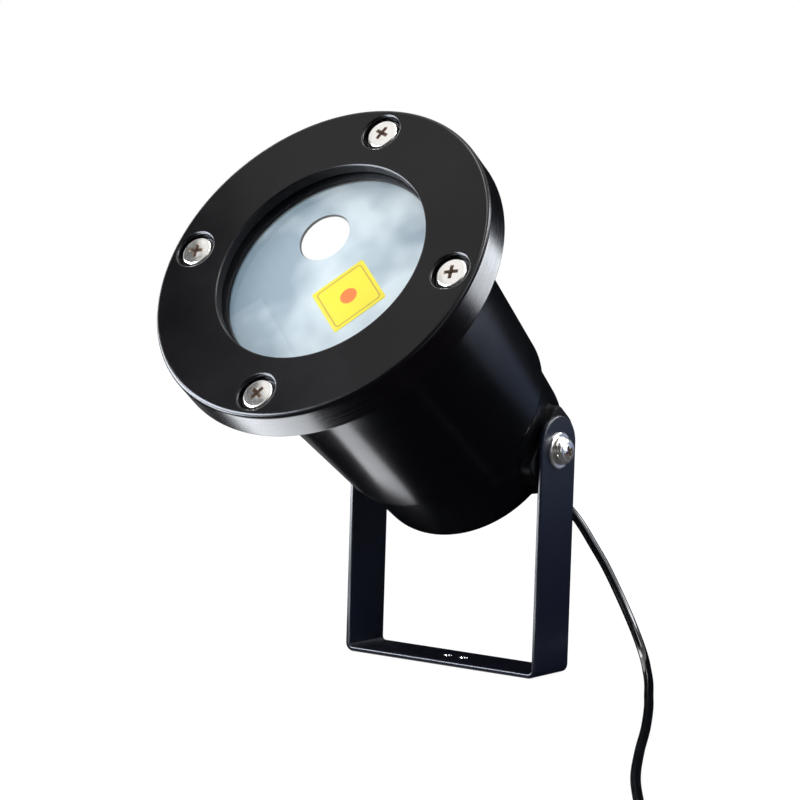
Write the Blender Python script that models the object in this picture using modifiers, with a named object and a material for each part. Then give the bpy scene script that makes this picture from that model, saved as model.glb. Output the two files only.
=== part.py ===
"""Outdoor laser light projector on a U bracket, with its cord put away in a coil.

The bracket stands on the floor at z = 0, with the origin at the middle of its base strip.
+X runs along the strip to the right arm, -Y is the side that the lamp points to, +Z is up.
The lamp is built along its own axis, in the space of the empty head_pivot: local +Z points
out of the face ring, local +X is the pivot line, and depths are measured back from the
front face of the ring.
"""

import math

import bmesh
import bpy
import numpy as np
from mathutils import Matrix, Vector

MM = 0.001

# Fits
SEAT_GAP = 0.3 * MM            # between faces that rest on each other
RADIAL_GAP = 0.3 * MM          # between a round piece and the hole it sits in

# Face ring
RING_R = 46.5 * MM
RING_DEPTH = 9.0 * MM
RING_BEVEL = 1.2 * MM
RING_EDGE = 0.4 * MM
FLANGE_WIDTH = 12.5 * MM       # from the ring's rim in to the barrel, room for the screws
BARREL_FRONT_R = RING_R - FLANGE_WIDTH
LIP_WIDTH = 5.0 * MM
OPENING_R = BARREL_FRONT_R - LIP_WIDTH
LIP_DEPTH = 3.0 * MM           # lip in front of the glass
RING_PLATE = 4.6 * MM          # thickness of the ring in front of the housing flange
RING_RIM = 2.6 * MM            # width of the rim that hides the flange
SCREW_INSET = 7.1 * MM         # from the ring's rim to the screws
SCREW_CIRCLE_R = RING_R - SCREW_INSET
FACE_SCREWS = 4
COUNTERBORE_R = 5.3 * MM
COUNTERBORE_DEPTH = 2.6 * MM
FACE_HEAD_R = 4.2 * MM
FACE_HEAD_HEIGHT = 1.9 * MM
FACE_SHANK_LENGTH = 6.2 * MM
SCREW_R = 2.0 * MM             # M4 shank

# Glass, gasket, front plate and its window
POCKET_R = BARREL_FRONT_R      # pocket in ring and housing for glass and gasket
GLASS_MARGIN = 0.4 * MM
GLASS_R = POCKET_R - GLASS_MARGIN
GLASS_THICK = 3.0 * MM
GASKET_SHOW = 0.4 * MM         # what shows of the gasket inside the opening
GASKET_INNER_R = OPENING_R - GASKET_SHOW
GASKET_THICK = 1.4 * MM
PLATE_THICK = 1.2 * MM
APERTURE_R = 7.4 * MM
APERTURE_X = -7.8 * MM
APERTURE_Y = 11.1 * MM
WINDOW_THICK = 0.8 * MM
WINDOW_RECESS = 0.5 * MM

# Housing
BARREL_TAPER = 4.4 * MM
BARREL_REAR_R = BARREL_FRONT_R - BARREL_TAPER
BARREL_END = 68.2 * MM         # depth where the barrel steps down to the cup
STEP_RADIUS = 1.5 * MM
CUP_STEP = 1.5 * MM
CUP_TAPER = 1.7 * MM
CUP_FRONT_R = BARREL_REAR_R - CUP_STEP
CUP_REAR_R = CUP_FRONT_R - CUP_TAPER
HOUSING_LENGTH = 88.7 * MM
CUP_ROUND = 4.0 * MM
HOUSING_WALL = 2.6 * MM
REAR_WALL = 3.0 * MM
RIB_COUNT = 4
RIB_WIDTH = 3.0 * MM
RIB_STEP = 2.0 * MM            # shelf that the heat sink rests on

# Pivot
PIVOT_DEPTH = 81.5 * MM
PIVOT_HEIGHT = 58.9 * MM
TILT_DEG = 37.7                # aim above the horizon as stored
BOSS_STAND = 0.7 * MM          # boss face beyond the cup's front edge
BOSS_FACE_X = CUP_FRONT_R + BOSS_STAND
BOSS_HEIGHT = 21.0 * MM
BOSS_LENGTH = 13.0 * MM
BOSS_CORNER = 3.0 * MM
BOSS_REACH = 8.5 * MM          # thickness of the boss along the pivot
FLAT_WASHER_R = 4.75 * MM
FLAT_WASHER_THICK = 0.9 * MM
SPRING_WASHER_R = 3.7 * MM
SPRING_WASHER_THICK = 1.1 * MM
SPRING_WASHER_SPLIT = 0.9 * MM
PIVOT_HEAD_R = 3.5 * MM
PIVOT_HEAD_HEIGHT = 2.3 * MM
PIVOT_SHANK_LENGTH = 11.5 * MM

# Bracket
STRIP_THICK = 1.3 * MM
STRIP_WIDTH = 15.5 * MM
BEND_INNER_R = 1.0 * MM
ARM_ABOVE_PIVOT = 9.1 * MM
BASE_HOLE_R = 0.9 * MM
BASE_HOLE_PITCH = 5.0 * MM

# Laser module
LASER_R = 5.5 * MM
LASER_FRONT = 16.0 * MM
LASER_LENGTH = 30.0 * MM
LENS_BORE_R = 4.6 * MM
LENS_BORE_DEPTH = 6.0 * MM
BEAM_BORE_R = 3.0 * MM
DIODE_BORE_R = 4.8 * MM
DIODE_BORE_DEPTH = 6.0 * MM
LENS_EDGE = 2.6 * MM
LENS_CROWN = 0.7 * MM
LENS_RING_THICK = 1.6 * MM
LENS_RING_WALL = 1.1 * MM
DIODE_BASE_THICK = 1.5 * MM
DIODE_CAN_HEIGHT = 3.4 * MM

# Heat sink, motor and grating wheel
SINK_FRONT = 24.0 * MM
SINK_LENGTH = 16.0 * MM
SINK_INSET = 2.3 * MM          # from the barrel's outside at its rear
SINK_R = BARREL_REAR_R - SINK_INSET
FIN_COUNT = 20
FIN_DEPTH = SINK_R * 0.117
MOTOR_R = 6.0 * MM
MOTOR_FRONT = 16.5 * MM
MOTOR_LENGTH = 21.0 * MM
MOTOR_NOSE_R = 2.4 * MM
MOTOR_NOSE = 1.2 * MM
SHAFT_R = 1.0 * MM
SHAFT_LENGTH = 4.6 * MM
WHEEL_INSET = 7.5 * MM
WHEEL_R = OPENING_R - WHEEL_INSET
WHEEL_THICK = 1.0 * MM
WHEEL_FRONT = 12.2 * MM
HUB_R = 2.6 * MM
HUB_LENGTH = 2.8 * MM
SHAFT_GAP = 0.3 * MM

# Driver board
STANDOFF_R = 2.6 * MM
STANDOFF_LENGTH = 9.7 * MM
STANDOFFS = 3
BOARD_INSET = 4.6 * MM         # from the barrel's outside at its rear
BOARD_R = BARREL_REAR_R - BOARD_INSET
STANDOFF_INSET = 5.5 * MM
STANDOFF_CIRCLE_R = BOARD_R - STANDOFF_INSET
BOARD_THICK = 1.6 * MM
BOARD_SCREW_R = 1.2 * MM
BOARD_HEAD_R = 2.7 * MM
BOARD_HEAD_HEIGHT = 1.7 * MM
BOARD_SCREW_LENGTH = 5.5 * MM
WIRE_R = 0.5 * MM
SUPPLY_WIRE_R = 0.8 * MM
COIL_CORE_R = 4.6 * MM
COIL_CORE_HEIGHT = 6.0 * MM
CAPACITOR_R = 3.2 * MM
CAPACITOR_HEIGHT = 9.0 * MM
CHIP_SIZE = (6.0 * MM, 4.0 * MM, 1.6 * MM)
TERMINAL_SIZE = (10.0 * MM, 7.0 * MM, 8.0 * MM)
COIL_CORE_PLACE = (BOARD_R * 0.44, BOARD_R * 0.06)
CAPACITOR_PLACE = (-BOARD_R * 0.44, -BOARD_R * 0.12)
CHIP_PLACE = (BOARD_R * 0.04, BOARD_R * 0.34)
TERMINAL_PLACE = (0.0, -BOARD_R * 0.58)

# Cord gland
GLAND_R = 5.7 * MM
GLAND_FLANGE_R = 8.4 * MM
GLAND_FLANGE = 2.5 * MM
GLAND_STUB = 7.2 * MM
GLAND_BOOT = 11.5 * MM
GLAND_TIP_R = 2.2 * MM
NUT_FLATS_R = 7.6 * MM
NUT_THICK = 3.0 * MM

# Cord
CORD_R = 1.25 * MM
CORD_POINT_STEP = 6.0 * MM
COIL_MIDDLE_R = 15.0 * MM
COIL_PITCH = 3.4 * MM          # between turns, and between layers
COIL_LAYERS = 4
COIL_WHOLE_TURNS = 13
COIL_POINTS_A_TURN = 24
COIL_LEAST_GAP = 0.4 * MM
TIE_THICK = 0.8 * MM
TIE_WIDTH = 3.0 * MM
TIE_CORNER = 2.0 * MM
TIE_ANGLE_DEG = -40.0
COIL_CENTRE = (163.1 * MM, -200.3 * MM)
COIL_ENTRY_DEG = 32.0          # place on the coil where the lead joins it
COIL_EXIT_DEG = -100.0         # place where the tail to the plug leaves
PLUG_GRIP_R = 4.8 * MM
PLUG_GRIP_LENGTH = 14.0 * MM
PLUG_SLEEVE_LENGTH = 10.0 * MM
PLUG_SLEEVE_TIP_R = 2.1 * MM
PLUG_BARREL_R = 2.75 * MM
PLUG_BARREL_BORE_R = 1.05 * MM
PLUG_BARREL_LENGTH = 9.5 * MM

# Facets
LARGE_STEPS = 48
MEDIUM_STEPS = 20
SMALL_STEPS = 12
SMOOTH_ANGLE = math.radians(35.0)
MERGE = 0.00001

# The free stretch of cord from the gland to the coil, centre line in millimetres. It leaves
# the gland straight, droops beside the right arm, meets the floor and runs to the coil.
LEAD_ROUTE_MM = [
    (0.0, 17.27, 45.55),
    (0.0, 20.9, 42.8),
    (1.6, 24.8, 40.5),
    (6.0, 28.0, 39.3),
    (11.8, 29.6, 38.6),
    (17.0, 29.8, 36.9),
    (20.9, 31.0, 31.7),
    (25.2, 32.0, 25.1),
    (30.1, 32.0, 17.6),
    (36.0, 30.4, 9.6),
    (42.0, 25.9, 4.0),
    (49.6, 16.0, 1.5),
    (58.0, 3.4, 1.3),
    (66.6, -10.3, 1.3),
    (74.9, -23.5, 1.3),
    (89.2, -47.6, 1.3),
    (103.6, -73.2, 1.3),
    (118.8, -98.8, 1.3),
    (135.4, -123.4, 1.3),
    (151.6, -147.4, 1.4),
    (164.6, -166.6, 1.9),
    (173.4, -179.6, 2.3),
]

# The tail from the coil to the plug, centre line in millimetres.
TAIL_ROUTE_MM = [
    (0.0, 12.6),
    (4.0, 12.3),
    (9.0, 10.8),
    (14.0, 8.4),
    (19.0, 6.2),
    (24.0, 5.1),
    (28.0, 4.9),
]

part_collection = None
cutter_collection = None
head_pivot = None
materials = {}


def clear_scene():
    """Remove what the scene holds, and make the two collections."""
    global part_collection, cutter_collection
    for obj in list(bpy.data.objects):
        bpy.data.objects.remove(obj, do_unlink=True)
    part_collection = bpy.data.collections.new("laser_projector")
    cutter_collection = bpy.data.collections.new("cutters")
    bpy.context.scene.collection.children.link(part_collection)
    bpy.context.scene.collection.children.link(cutter_collection)


def make_material(name, color, roughness, metallic, alpha=1.0):
    """A Principled BSDF with one colour, kept by name."""
    material = bpy.data.materials.new(name)
    material.use_nodes = True
    shader = material.node_tree.nodes["Principled BSDF"]
    shader.inputs["Base Color"].default_value = (*color, 1.0)
    shader.inputs["Roughness"].default_value = roughness
    shader.inputs["Metallic"].default_value = metallic
    shader.inputs["Alpha"].default_value = alpha
    materials[name] = material


def make_materials():
    make_material("black_paint", (0.012, 0.013, 0.016), 0.32, 0.0)
    make_material("nickel", (0.74, 0.72, 0.69), 0.22, 1.0)
    make_material("clear_glass", (0.92, 0.96, 1.0), 0.03, 0.0, 0.3)
    make_material("black_rubber", (0.02, 0.02, 0.021), 0.75, 0.0)
    make_material("plate_enamel", (0.48, 0.60, 0.68), 0.35, 0.0)
    make_material("white_film", (0.86, 0.88, 0.88), 0.5, 0.0)
    make_material("bare_aluminium", (0.66, 0.67, 0.68), 0.4, 1.0)
    make_material("brass", (0.72, 0.52, 0.22), 0.3, 1.0)
    make_material("grating_film", (0.8, 0.86, 0.9), 0.15, 0.0, 0.5)
    make_material("board_green", (0.03, 0.16, 0.06), 0.5, 0.0)
    make_material("component_black", (0.02, 0.02, 0.022), 0.5, 0.0)
    make_material("wire_red", (0.55, 0.03, 0.02), 0.5, 0.0)
    make_material("cord_black", (0.02, 0.02, 0.021), 0.45, 0.0)
    make_material("tie_white", (0.75, 0.76, 0.77), 0.5, 0.0)


def z_at(depth):
    """Local height on the lamp axis of a depth behind the front face."""
    return PIVOT_DEPTH - depth


def arc(centre_r, centre_z, radius, start_deg, end_deg, steps):
    """Points of a circular arc in the (radius, height) plane."""
    points = []
    for i in range(steps + 1):
        angle = math.radians(start_deg + (end_deg - start_deg) * i / steps)
        points.append((centre_r + radius * math.cos(angle), centre_z + radius * math.sin(angle)))
    return points


def place(obj, parent, location, rotation, collection, material):
    obj.location = location
    obj.rotation_euler = rotation
    obj.parent = parent
    collection.objects.link(obj)
    if material:
        obj.data.materials.append(materials[material])
    if collection == cutter_collection:
        obj.hide_render = True
        obj.display_type = "WIRE"
    return obj


def turned(name, profile, steps, material=None, parent=None, location=(0, 0, 0),
           rotation=(0, 0, 0), collection=None):
    """A profile of (radius, height) points turned about Z.

    The profile runs down its outer side. It is closed unless it starts on the axis. An upright
    cutter is turned half a facet, so that its corners miss those of the piece that it cuts.
    """
    if collection == cutter_collection and not any(rotation):
        rotation = (0, 0, math.pi / steps)
    mesh = bpy.data.meshes.new(name)
    count = len(profile)
    edges = [(i, i + 1) for i in range(count - 1)]
    if profile[0][0] > 0:
        edges.append((count - 1, 0))
    mesh.from_pydata([(r, 0.0, z) for r, z in profile], edges, [])
    obj = bpy.data.objects.new(name, mesh)
    place(obj, parent, location, rotation, collection or part_collection, material)
    screw = obj.modifiers.new("turn", "SCREW")
    screw.axis = "Z"
    screw.angle = math.tau
    screw.steps = steps
    screw.render_steps = steps
    screw.use_merge_vertices = True
    screw.merge_threshold = MERGE
    screw.use_smooth_shade = True
    return obj


def outline(name, loops, thickness, material=None, parent=None, location=(0, 0, 0),
            rotation=(0, 0, 0), collection=None):
    """A flat outline in XY, with holes as further loops, given a thickness about z = 0."""
    curve = bpy.data.curves.new(name, "CURVE")
    curve.dimensions = "2D"
    curve.fill_mode = "BOTH"
    curve.extrude = thickness / 2
    for loop in loops:
        spline = curve.splines.new("POLY")
        spline.points.add(len(loop) - 1)
        for point, (x, y) in zip(spline.points, loop):
            point.co = (x, y, 0.0, 1.0)
        spline.use_cyclic_u = True
    source = bpy.data.objects.new(name + "_outline", curve)
    cutter_collection.objects.link(source)
    depsgraph = bpy.context.evaluated_depsgraph_get()
    mesh = bpy.data.meshes.new_from_object(source.evaluated_get(depsgraph), depsgraph=depsgraph)
    bpy.data.objects.remove(source)
    mesh.name = name
    work = bmesh.new()
    work.from_mesh(mesh)
    bmesh.ops.remove_doubles(work, verts=work.verts, dist=MERGE)
    bmesh.ops.recalc_face_normals(work, faces=work.faces)
    work.to_mesh(mesh)
    work.free()
    obj = bpy.data.objects.new(name, mesh)
    return place(obj, parent, location, rotation, collection or part_collection, material)


def block(name, size, material=None, parent=None, location=(0, 0, 0), rotation=(0, 0, 0),
          collection=None):
    """A box of the given size about its own centre."""
    mesh = bpy.data.meshes.new(name)
    work = bmesh.new()
    bmesh.ops.create_cube(work, size=1.0, matrix=Matrix.Diagonal((*size, 1.0)))
    work.to_mesh(mesh)
    work.free()
    obj = bpy.data.objects.new(name, mesh)
    return place(obj, parent, location, rotation, collection or part_collection, material)


def tube(name, points, radius, sides_resolution, material, parent=None):
    """A round tube along the given points, with filled ends."""
    curve = bpy.data.curves.new(name, "CURVE")
    curve.dimensions = "3D"
    curve.bevel_depth = radius
    curve.bevel_resolution = sides_resolution
    curve.use_fill_caps = True
    spline = curve.splines.new("POLY")
    spline.points.add(len(points) - 1)
    for point, co in zip(spline.points, points):
        point.co = (*co, 1.0)
    obj = bpy.data.objects.new(name, curve)
    return place(obj, parent, (0, 0, 0), (0, 0, 0), part_collection, material)


def cut(target, cutter, operation="DIFFERENCE"):
    """Join or cut a piece with another object."""
    boolean = target.modifiers.new(cutter.name, "BOOLEAN")
    boolean.operation = operation
    boolean.object = cutter
    boolean.solver = "EXACT"


def rounded_box_loop(width, height, radius, steps):
    """Corner points of a rectangle about the origin, with round corners."""
    loop = []
    corners = [(1, 1, 0), (-1, 1, 90), (-1, -1, 180), (1, -1, 270)]
    for sign_x, sign_y, start in corners:
        centre_x = sign_x * (width / 2 - radius)
        centre_y = sign_y * (height / 2 - radius)
        loop += arc(centre_x, centre_y, radius, start, start + 90, steps)
    return loop


def circle_place(radius, index, count, start_deg=0.0):
    angle = math.radians(start_deg) + math.tau * index / count
    return radius * math.cos(angle), radius * math.sin(angle)


def smooth_route(points, step):
    """Points about one step apart on the smooth curve through the given ones."""
    route = np.array(points)
    ends = [2 * route[0] - route[1], 2 * route[-1] - route[-2]]
    knots = np.vstack([ends[0], route, ends[1]])
    fine = []
    for i in range(len(route) - 1):
        p0, p1, p2, p3 = knots[i:i + 4]
        for t in np.linspace(0.0, 1.0, 24, endpoint=False):
            fine.append(0.5 * (2 * p1 + (p2 - p0) * t + (2 * p0 - 5 * p1 + 4 * p2 - p3) * t ** 2
                               + (3 * p1 - p0 - 3 * p2 + p3) * t ** 3))
    fine.append(route[-1])
    fine = np.array(fine)
    run = np.concatenate([[0.0], np.cumsum(np.linalg.norm(np.diff(fine, axis=0), axis=1))])
    places = np.linspace(0.0, run[-1], int(round(run[-1] / step)) + 1)
    smooth = np.column_stack([np.interp(places, run, fine[:, k]) for k in range(fine.shape[1])])
    return smooth, run[-1]


# Depths that several pieces share
GLASS_FRONT = LIP_DEPTH + SEAT_GAP
GASKET_FRONT = GLASS_FRONT + GLASS_THICK + SEAT_GAP
POCKET_FLOOR = GASKET_FRONT + GASKET_THICK + SEAT_GAP
PLATE_FRONT = POCKET_FLOOR
RIB_TOP = PLATE_FRONT + PLATE_THICK + SEAT_GAP
FLANGE_R = RING_R - RING_RIM - RADIAL_GAP
FLANGE_FRONT = RING_PLATE + SEAT_GAP
MOUTH_R = BARREL_FRONT_R - HOUSING_WALL
SCREW_HOLE_R = SCREW_R + RADIAL_GAP
SINK_REAR = SINK_FRONT + SINK_LENGTH
GLAND_SHOULDER = HOUSING_LENGTH + SEAT_GAP
GLAND_TIP = GLAND_SHOULDER + GLAND_FLANGE + GLAND_BOOT
BOARD_FRONT = SINK_REAR + 2 * SEAT_GAP + STANDOFF_LENGTH
BOARD_REAR = BOARD_FRONT + BOARD_THICK


def make_face_ring():
    """Flat painted ring with a lip over the glass and a recess for the housing flange."""
    rim_r = RING_R - RING_RIM
    edge_r = RING_R - RING_BEVEL
    profile = [
        (OPENING_R + RING_EDGE, z_at(0)),
        *arc(edge_r, z_at(RING_BEVEL), RING_BEVEL, 90, 0, 2),
        (RING_R, z_at(RING_DEPTH - RING_EDGE)),
        (RING_R - RING_EDGE, z_at(RING_DEPTH)),
        (rim_r, z_at(RING_DEPTH)),
        (rim_r, z_at(RING_PLATE)),
        (POCKET_R, z_at(RING_PLATE)),
        (POCKET_R, z_at(LIP_DEPTH)),
        (OPENING_R, z_at(LIP_DEPTH)),
        (OPENING_R, z_at(RING_EDGE)),
    ]
    ring = turned("face_ring", profile, LARGE_STEPS, "black_paint", head_pivot)
    above = z_at(-COUNTERBORE_DEPTH)
    floor = z_at(COUNTERBORE_DEPTH)
    below = z_at(2 * RING_PLATE)
    for index in range(FACE_SCREWS):
        x, y = circle_place(SCREW_CIRCLE_R, index, FACE_SCREWS)
        cutter_profile = [(0, above), (COUNTERBORE_R, above), (COUNTERBORE_R, floor),
                          (SCREW_HOLE_R, floor), (SCREW_HOLE_R, below), (0, below)]
        cutter = turned(f"counterbore_{index}", cutter_profile, MEDIUM_STEPS, None, head_pivot,
                        (x, y, 0), collection=cutter_collection)
        cut(ring, cutter)


def screw_profile(head_r, head_height, shank_r, shank_length):
    """A pan head standing on z = 0 with its shank below, the top edge rounded."""
    round_r = head_height * 0.45
    return [
        (0, head_height),
        *arc(head_r - round_r, head_height - round_r, round_r, 90, 0, 2),
        (head_r, 0),
        (shank_r, 0),
        (shank_r, -shank_length),
        (0, -shank_length),
    ]


def make_face_screws():
    profile = screw_profile(FACE_HEAD_R, FACE_HEAD_HEIGHT, SCREW_R, FACE_SHANK_LENGTH)
    for index, side in enumerate(("right", "top", "left", "bottom")):
        x, y = circle_place(SCREW_CIRCLE_R, index, FACE_SCREWS)
        turned(f"face_screw_{side}", profile, MEDIUM_STEPS, "nickel", head_pivot,
               (x, y, z_at(COUNTERBORE_DEPTH - SEAT_GAP)))


def disc(name, outer_r, front, thickness, steps, material, inner_r=0.0, place_xy=(0, 0),
         collection=None):
    """A flat disc, or ring, on the lamp axis or beside it."""
    profile = [(inner_r, z_at(front)), (outer_r, z_at(front)),
               (outer_r, z_at(front + thickness)), (inner_r, z_at(front + thickness))]
    return turned(name, profile, steps, material, head_pivot, (*place_xy, 0),
                  collection=collection)


def make_front_stack():
    """Glass, gasket, front plate and the window in its aperture."""
    disc("front_glass", GLASS_R, GLASS_FRONT, GLASS_THICK, LARGE_STEPS, "clear_glass")
    disc("glass_gasket", GLASS_R, GASKET_FRONT, GASKET_THICK, LARGE_STEPS, "black_rubber",
         GASKET_INNER_R)
    plate = disc("front_plate", MOUTH_R - RADIAL_GAP, PLATE_FRONT, PLATE_THICK, LARGE_STEPS,
                 "plate_enamel")
    aperture = disc("aperture", APERTURE_R, PLATE_FRONT - PLATE_THICK, 3 * PLATE_THICK,
                    MEDIUM_STEPS, None, 0.0, (APERTURE_X, APERTURE_Y), cutter_collection)
    cut(plate, aperture)
    disc("grating_window", APERTURE_R - RADIAL_GAP, PLATE_FRONT + WINDOW_RECESS, WINDOW_THICK,
         MEDIUM_STEPS, "white_film", 0.0, (APERTURE_X, APERTURE_Y))


def make_housing():
    """Die-cast shell: flange, tapered barrel, rounded step, cup, pivot bosses and inner ribs."""
    hole_r = GLAND_R + RADIAL_GAP
    inner_rear = HOUSING_LENGTH - REAR_WALL
    cup_inner_front = CUP_FRONT_R - HOUSING_WALL
    cup_inner_rear = CUP_REAR_R - HOUSING_WALL
    barrel_inner_rear = BARREL_REAR_R - HOUSING_WALL
    profile = [
        (hole_r, z_at(inner_rear)),
        (cup_inner_rear - STEP_RADIUS, z_at(inner_rear)),
        (cup_inner_rear, z_at(inner_rear - STEP_RADIUS)),
        (cup_inner_front, z_at(BARREL_END + STEP_RADIUS)),
        (barrel_inner_rear, z_at(BARREL_END - STEP_RADIUS)),
        (MOUTH_R, z_at(POCKET_FLOOR)),
        (POCKET_R, z_at(POCKET_FLOOR)),
        (POCKET_R, z_at(FLANGE_FRONT)),
        (FLANGE_R, z_at(FLANGE_FRONT)),
        (FLANGE_R, z_at(RING_DEPTH)),
        (BARREL_FRONT_R + RING_EDGE, z_at(RING_DEPTH)),
        (BARREL_FRONT_R, z_at(RING_DEPTH + RING_EDGE)),
        *arc(BARREL_REAR_R - STEP_RADIUS, z_at(BARREL_END - STEP_RADIUS), STEP_RADIUS, 0, -90, 3),
        (CUP_FRONT_R, z_at(BARREL_END)),
        *arc(CUP_REAR_R - CUP_ROUND, z_at(HOUSING_LENGTH - CUP_ROUND), CUP_ROUND, 0, -90, 4),
        (hole_r, z_at(HOUSING_LENGTH)),
    ]
    profile = [p for i, p in enumerate(profile) if i == 0 or math.dist(p, profile[i - 1]) > MERGE]
    housing = turned("housing", profile, LARGE_STEPS, "black_paint", head_pivot)
    add_ribs(housing)
    add_bosses(housing)
    for index in range(FACE_SCREWS):
        x, y = circle_place(SCREW_CIRCLE_R, index, FACE_SCREWS)
        hole = disc(f"flange_hole_{index}", SCREW_HOLE_R, RING_PLATE - SEAT_GAP, RING_DEPTH,
                    SMALL_STEPS, None, 0.0, (x, y), cutter_collection)
        cut(housing, hole)


def add_ribs(housing):
    """Ribs inside the barrel: the plate rests on their tops, the heat sink on a shelf in them."""
    rib_end = BARREL_END - RIB_STEP
    upper_r = SINK_R + RADIAL_GAP
    lower_r = upper_r - RIB_STEP
    shelf = SINK_REAR + SEAT_GAP
    wall_front = MOUTH_R + HOUSING_WALL / 2
    wall_end = BARREL_REAR_R - HOUSING_WALL / 2
    loop = [
        (upper_r, z_at(RIB_TOP)),
        (wall_front, z_at(RIB_TOP)),
        (wall_end, z_at(rib_end)),
        (lower_r, z_at(rib_end)),
        (lower_r, z_at(shelf)),
        (upper_r, z_at(shelf)),
    ]
    for index in range(RIB_COUNT):
        turn = math.tau * (index + 0.5) / RIB_COUNT
        rib = outline(f"rib_{index}", [loop], RIB_WIDTH, None, head_pivot, (0, 0, 0),
                      (math.pi / 2, 0, turn), cutter_collection)
        cut(housing, rib, "UNION")


def add_bosses(housing):
    """Flat-faced pivot bosses on both sides of the cup, with their screw holes."""
    for side, sign in (("right", 1), ("left", -1)):
        loop = rounded_box_loop(BOSS_LENGTH, BOSS_HEIGHT, BOSS_CORNER, 3)
        boss = outline(f"boss_{side}", [loop], BOSS_REACH, None, head_pivot,
                       (sign * (BOSS_FACE_X - BOSS_REACH / 2), 0, 0), (0, math.pi / 2, 0),
                       cutter_collection)
        cut(housing, boss, "UNION")
        hole_profile = [(0, BOSS_REACH), (SCREW_HOLE_R, BOSS_REACH),
                        (SCREW_HOLE_R, -BOSS_REACH), (0, -BOSS_REACH)]
        hole = turned(f"boss_hole_{side}", hole_profile, SMALL_STEPS, None, head_pivot,
                      (sign * BOSS_FACE_X, 0, 0), (0, math.pi / 2, 0), cutter_collection)
        cut(housing, hole)


def make_pivot_hardware():
    """Screw, spring washer and flat washer on each arm, along the pivot line."""
    arm_outer = BOSS_FACE_X + SEAT_GAP + STRIP_THICK
    flat_x = arm_outer + SEAT_GAP
    spring_x = flat_x + FLAT_WASHER_THICK + SEAT_GAP
    head_x = spring_x + SPRING_WASHER_THICK + SEAT_GAP
    for side, sign in (("right", 1), ("left", -1)):
        turn = (0, sign * math.pi / 2, 0)
        turned(f"pivot_screw_{side}",
               screw_profile(PIVOT_HEAD_R, PIVOT_HEAD_HEIGHT, SCREW_R, PIVOT_SHANK_LENGTH),
               MEDIUM_STEPS, "nickel", head_pivot, (sign * head_x, 0, 0), turn)
        flat = [(SCREW_HOLE_R, FLAT_WASHER_THICK), (FLAT_WASHER_R, FLAT_WASHER_THICK),
                (FLAT_WASHER_R, 0), (SCREW_HOLE_R, 0)]
        turned(f"flat_washer_{side}", flat, MEDIUM_STEPS, "nickel", head_pivot,
               (sign * flat_x, 0, 0), turn)
        spring = [(SCREW_HOLE_R, SPRING_WASHER_THICK), (SPRING_WASHER_R, SPRING_WASHER_THICK),
                  (SPRING_WASHER_R, 0), (SCREW_HOLE_R, 0)]
        washer = turned(f"spring_washer_{side}", spring, MEDIUM_STEPS, "nickel", head_pivot,
                        (sign * spring_x, 0, 0), turn)
        middle_x = spring_x + SPRING_WASHER_THICK / 2
        split = block(f"washer_split_{side}",
                      (3 * SPRING_WASHER_THICK, SPRING_WASHER_SPLIT, 2 * SPRING_WASHER_R),
                      None, head_pivot, (sign * middle_x, 0, SPRING_WASHER_R), (0, 0, 0),
                      cutter_collection)
        cut(washer, split)


def strip_loop():
    """Side outline of the bent strip in the XZ plane, arms and base with round bends."""
    inner_x = BOSS_FACE_X + SEAT_GAP
    outer_x = inner_x + STRIP_THICK
    outer_r = BEND_INNER_R + STRIP_THICK
    top = PIVOT_HEIGHT + ARM_ABOVE_PIVOT
    right_bend = arc(outer_x - outer_r, outer_r, outer_r, -90, 0, 4)
    right_inner = arc(inner_x - BEND_INNER_R, STRIP_THICK + BEND_INNER_R, BEND_INNER_R, 0, -90, 4)
    right_half = [*right_bend, (outer_x, top), (inner_x, top), *right_inner]
    left_half = [(-x, z) for x, z in reversed(right_half)]
    return right_half + left_half


def make_bracket():
    """U bracket bent from flat strip, arm tops full round, pivot holes and two base holes."""
    bracket = outline("u_bracket", [strip_loop()], STRIP_WIDTH, "black_paint", None, (0, 0, 0),
                      (math.pi / 2, 0, 0))
    half_width = STRIP_WIDTH / 2
    span = 2 * (BOSS_FACE_X + SEAT_GAP + STRIP_THICK) + 2 * STRIP_THICK
    top_centre = PIVOT_HEIGHT + ARM_ABOVE_PIVOT - half_width
    arm_loop = [*arc(0, top_centre, half_width, 0, 180, 12),
                (-half_width, -STRIP_THICK), (half_width, -STRIP_THICK)]
    envelope = outline("arm_envelope", [arm_loop], span, None, None, (0, 0, 0),
                       (math.pi / 2, 0, math.pi / 2), cutter_collection)
    cut(bracket, envelope, "INTERSECT")
    pivot_hole = turned("arm_hole", [(0, span), (SCREW_HOLE_R, span), (SCREW_HOLE_R, -span),
                                     (0, -span)], MEDIUM_STEPS, None, None,
                        (0, 0, PIVOT_HEIGHT), (0, math.pi / 2, 0), cutter_collection)
    cut(bracket, pivot_hole)
    for side, sign in (("right", 1), ("left", -1)):
        hole = turned(f"base_hole_{side}",
                      [(0, 2 * STRIP_THICK), (BASE_HOLE_R, 2 * STRIP_THICK),
                       (BASE_HOLE_R, -STRIP_THICK), (0, -STRIP_THICK)], SMALL_STEPS, None, None,
                      (sign * BASE_HOLE_PITCH / 2, 0, 0), (0, 0, 0), cutter_collection)
        cut(bracket, hole)


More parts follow.
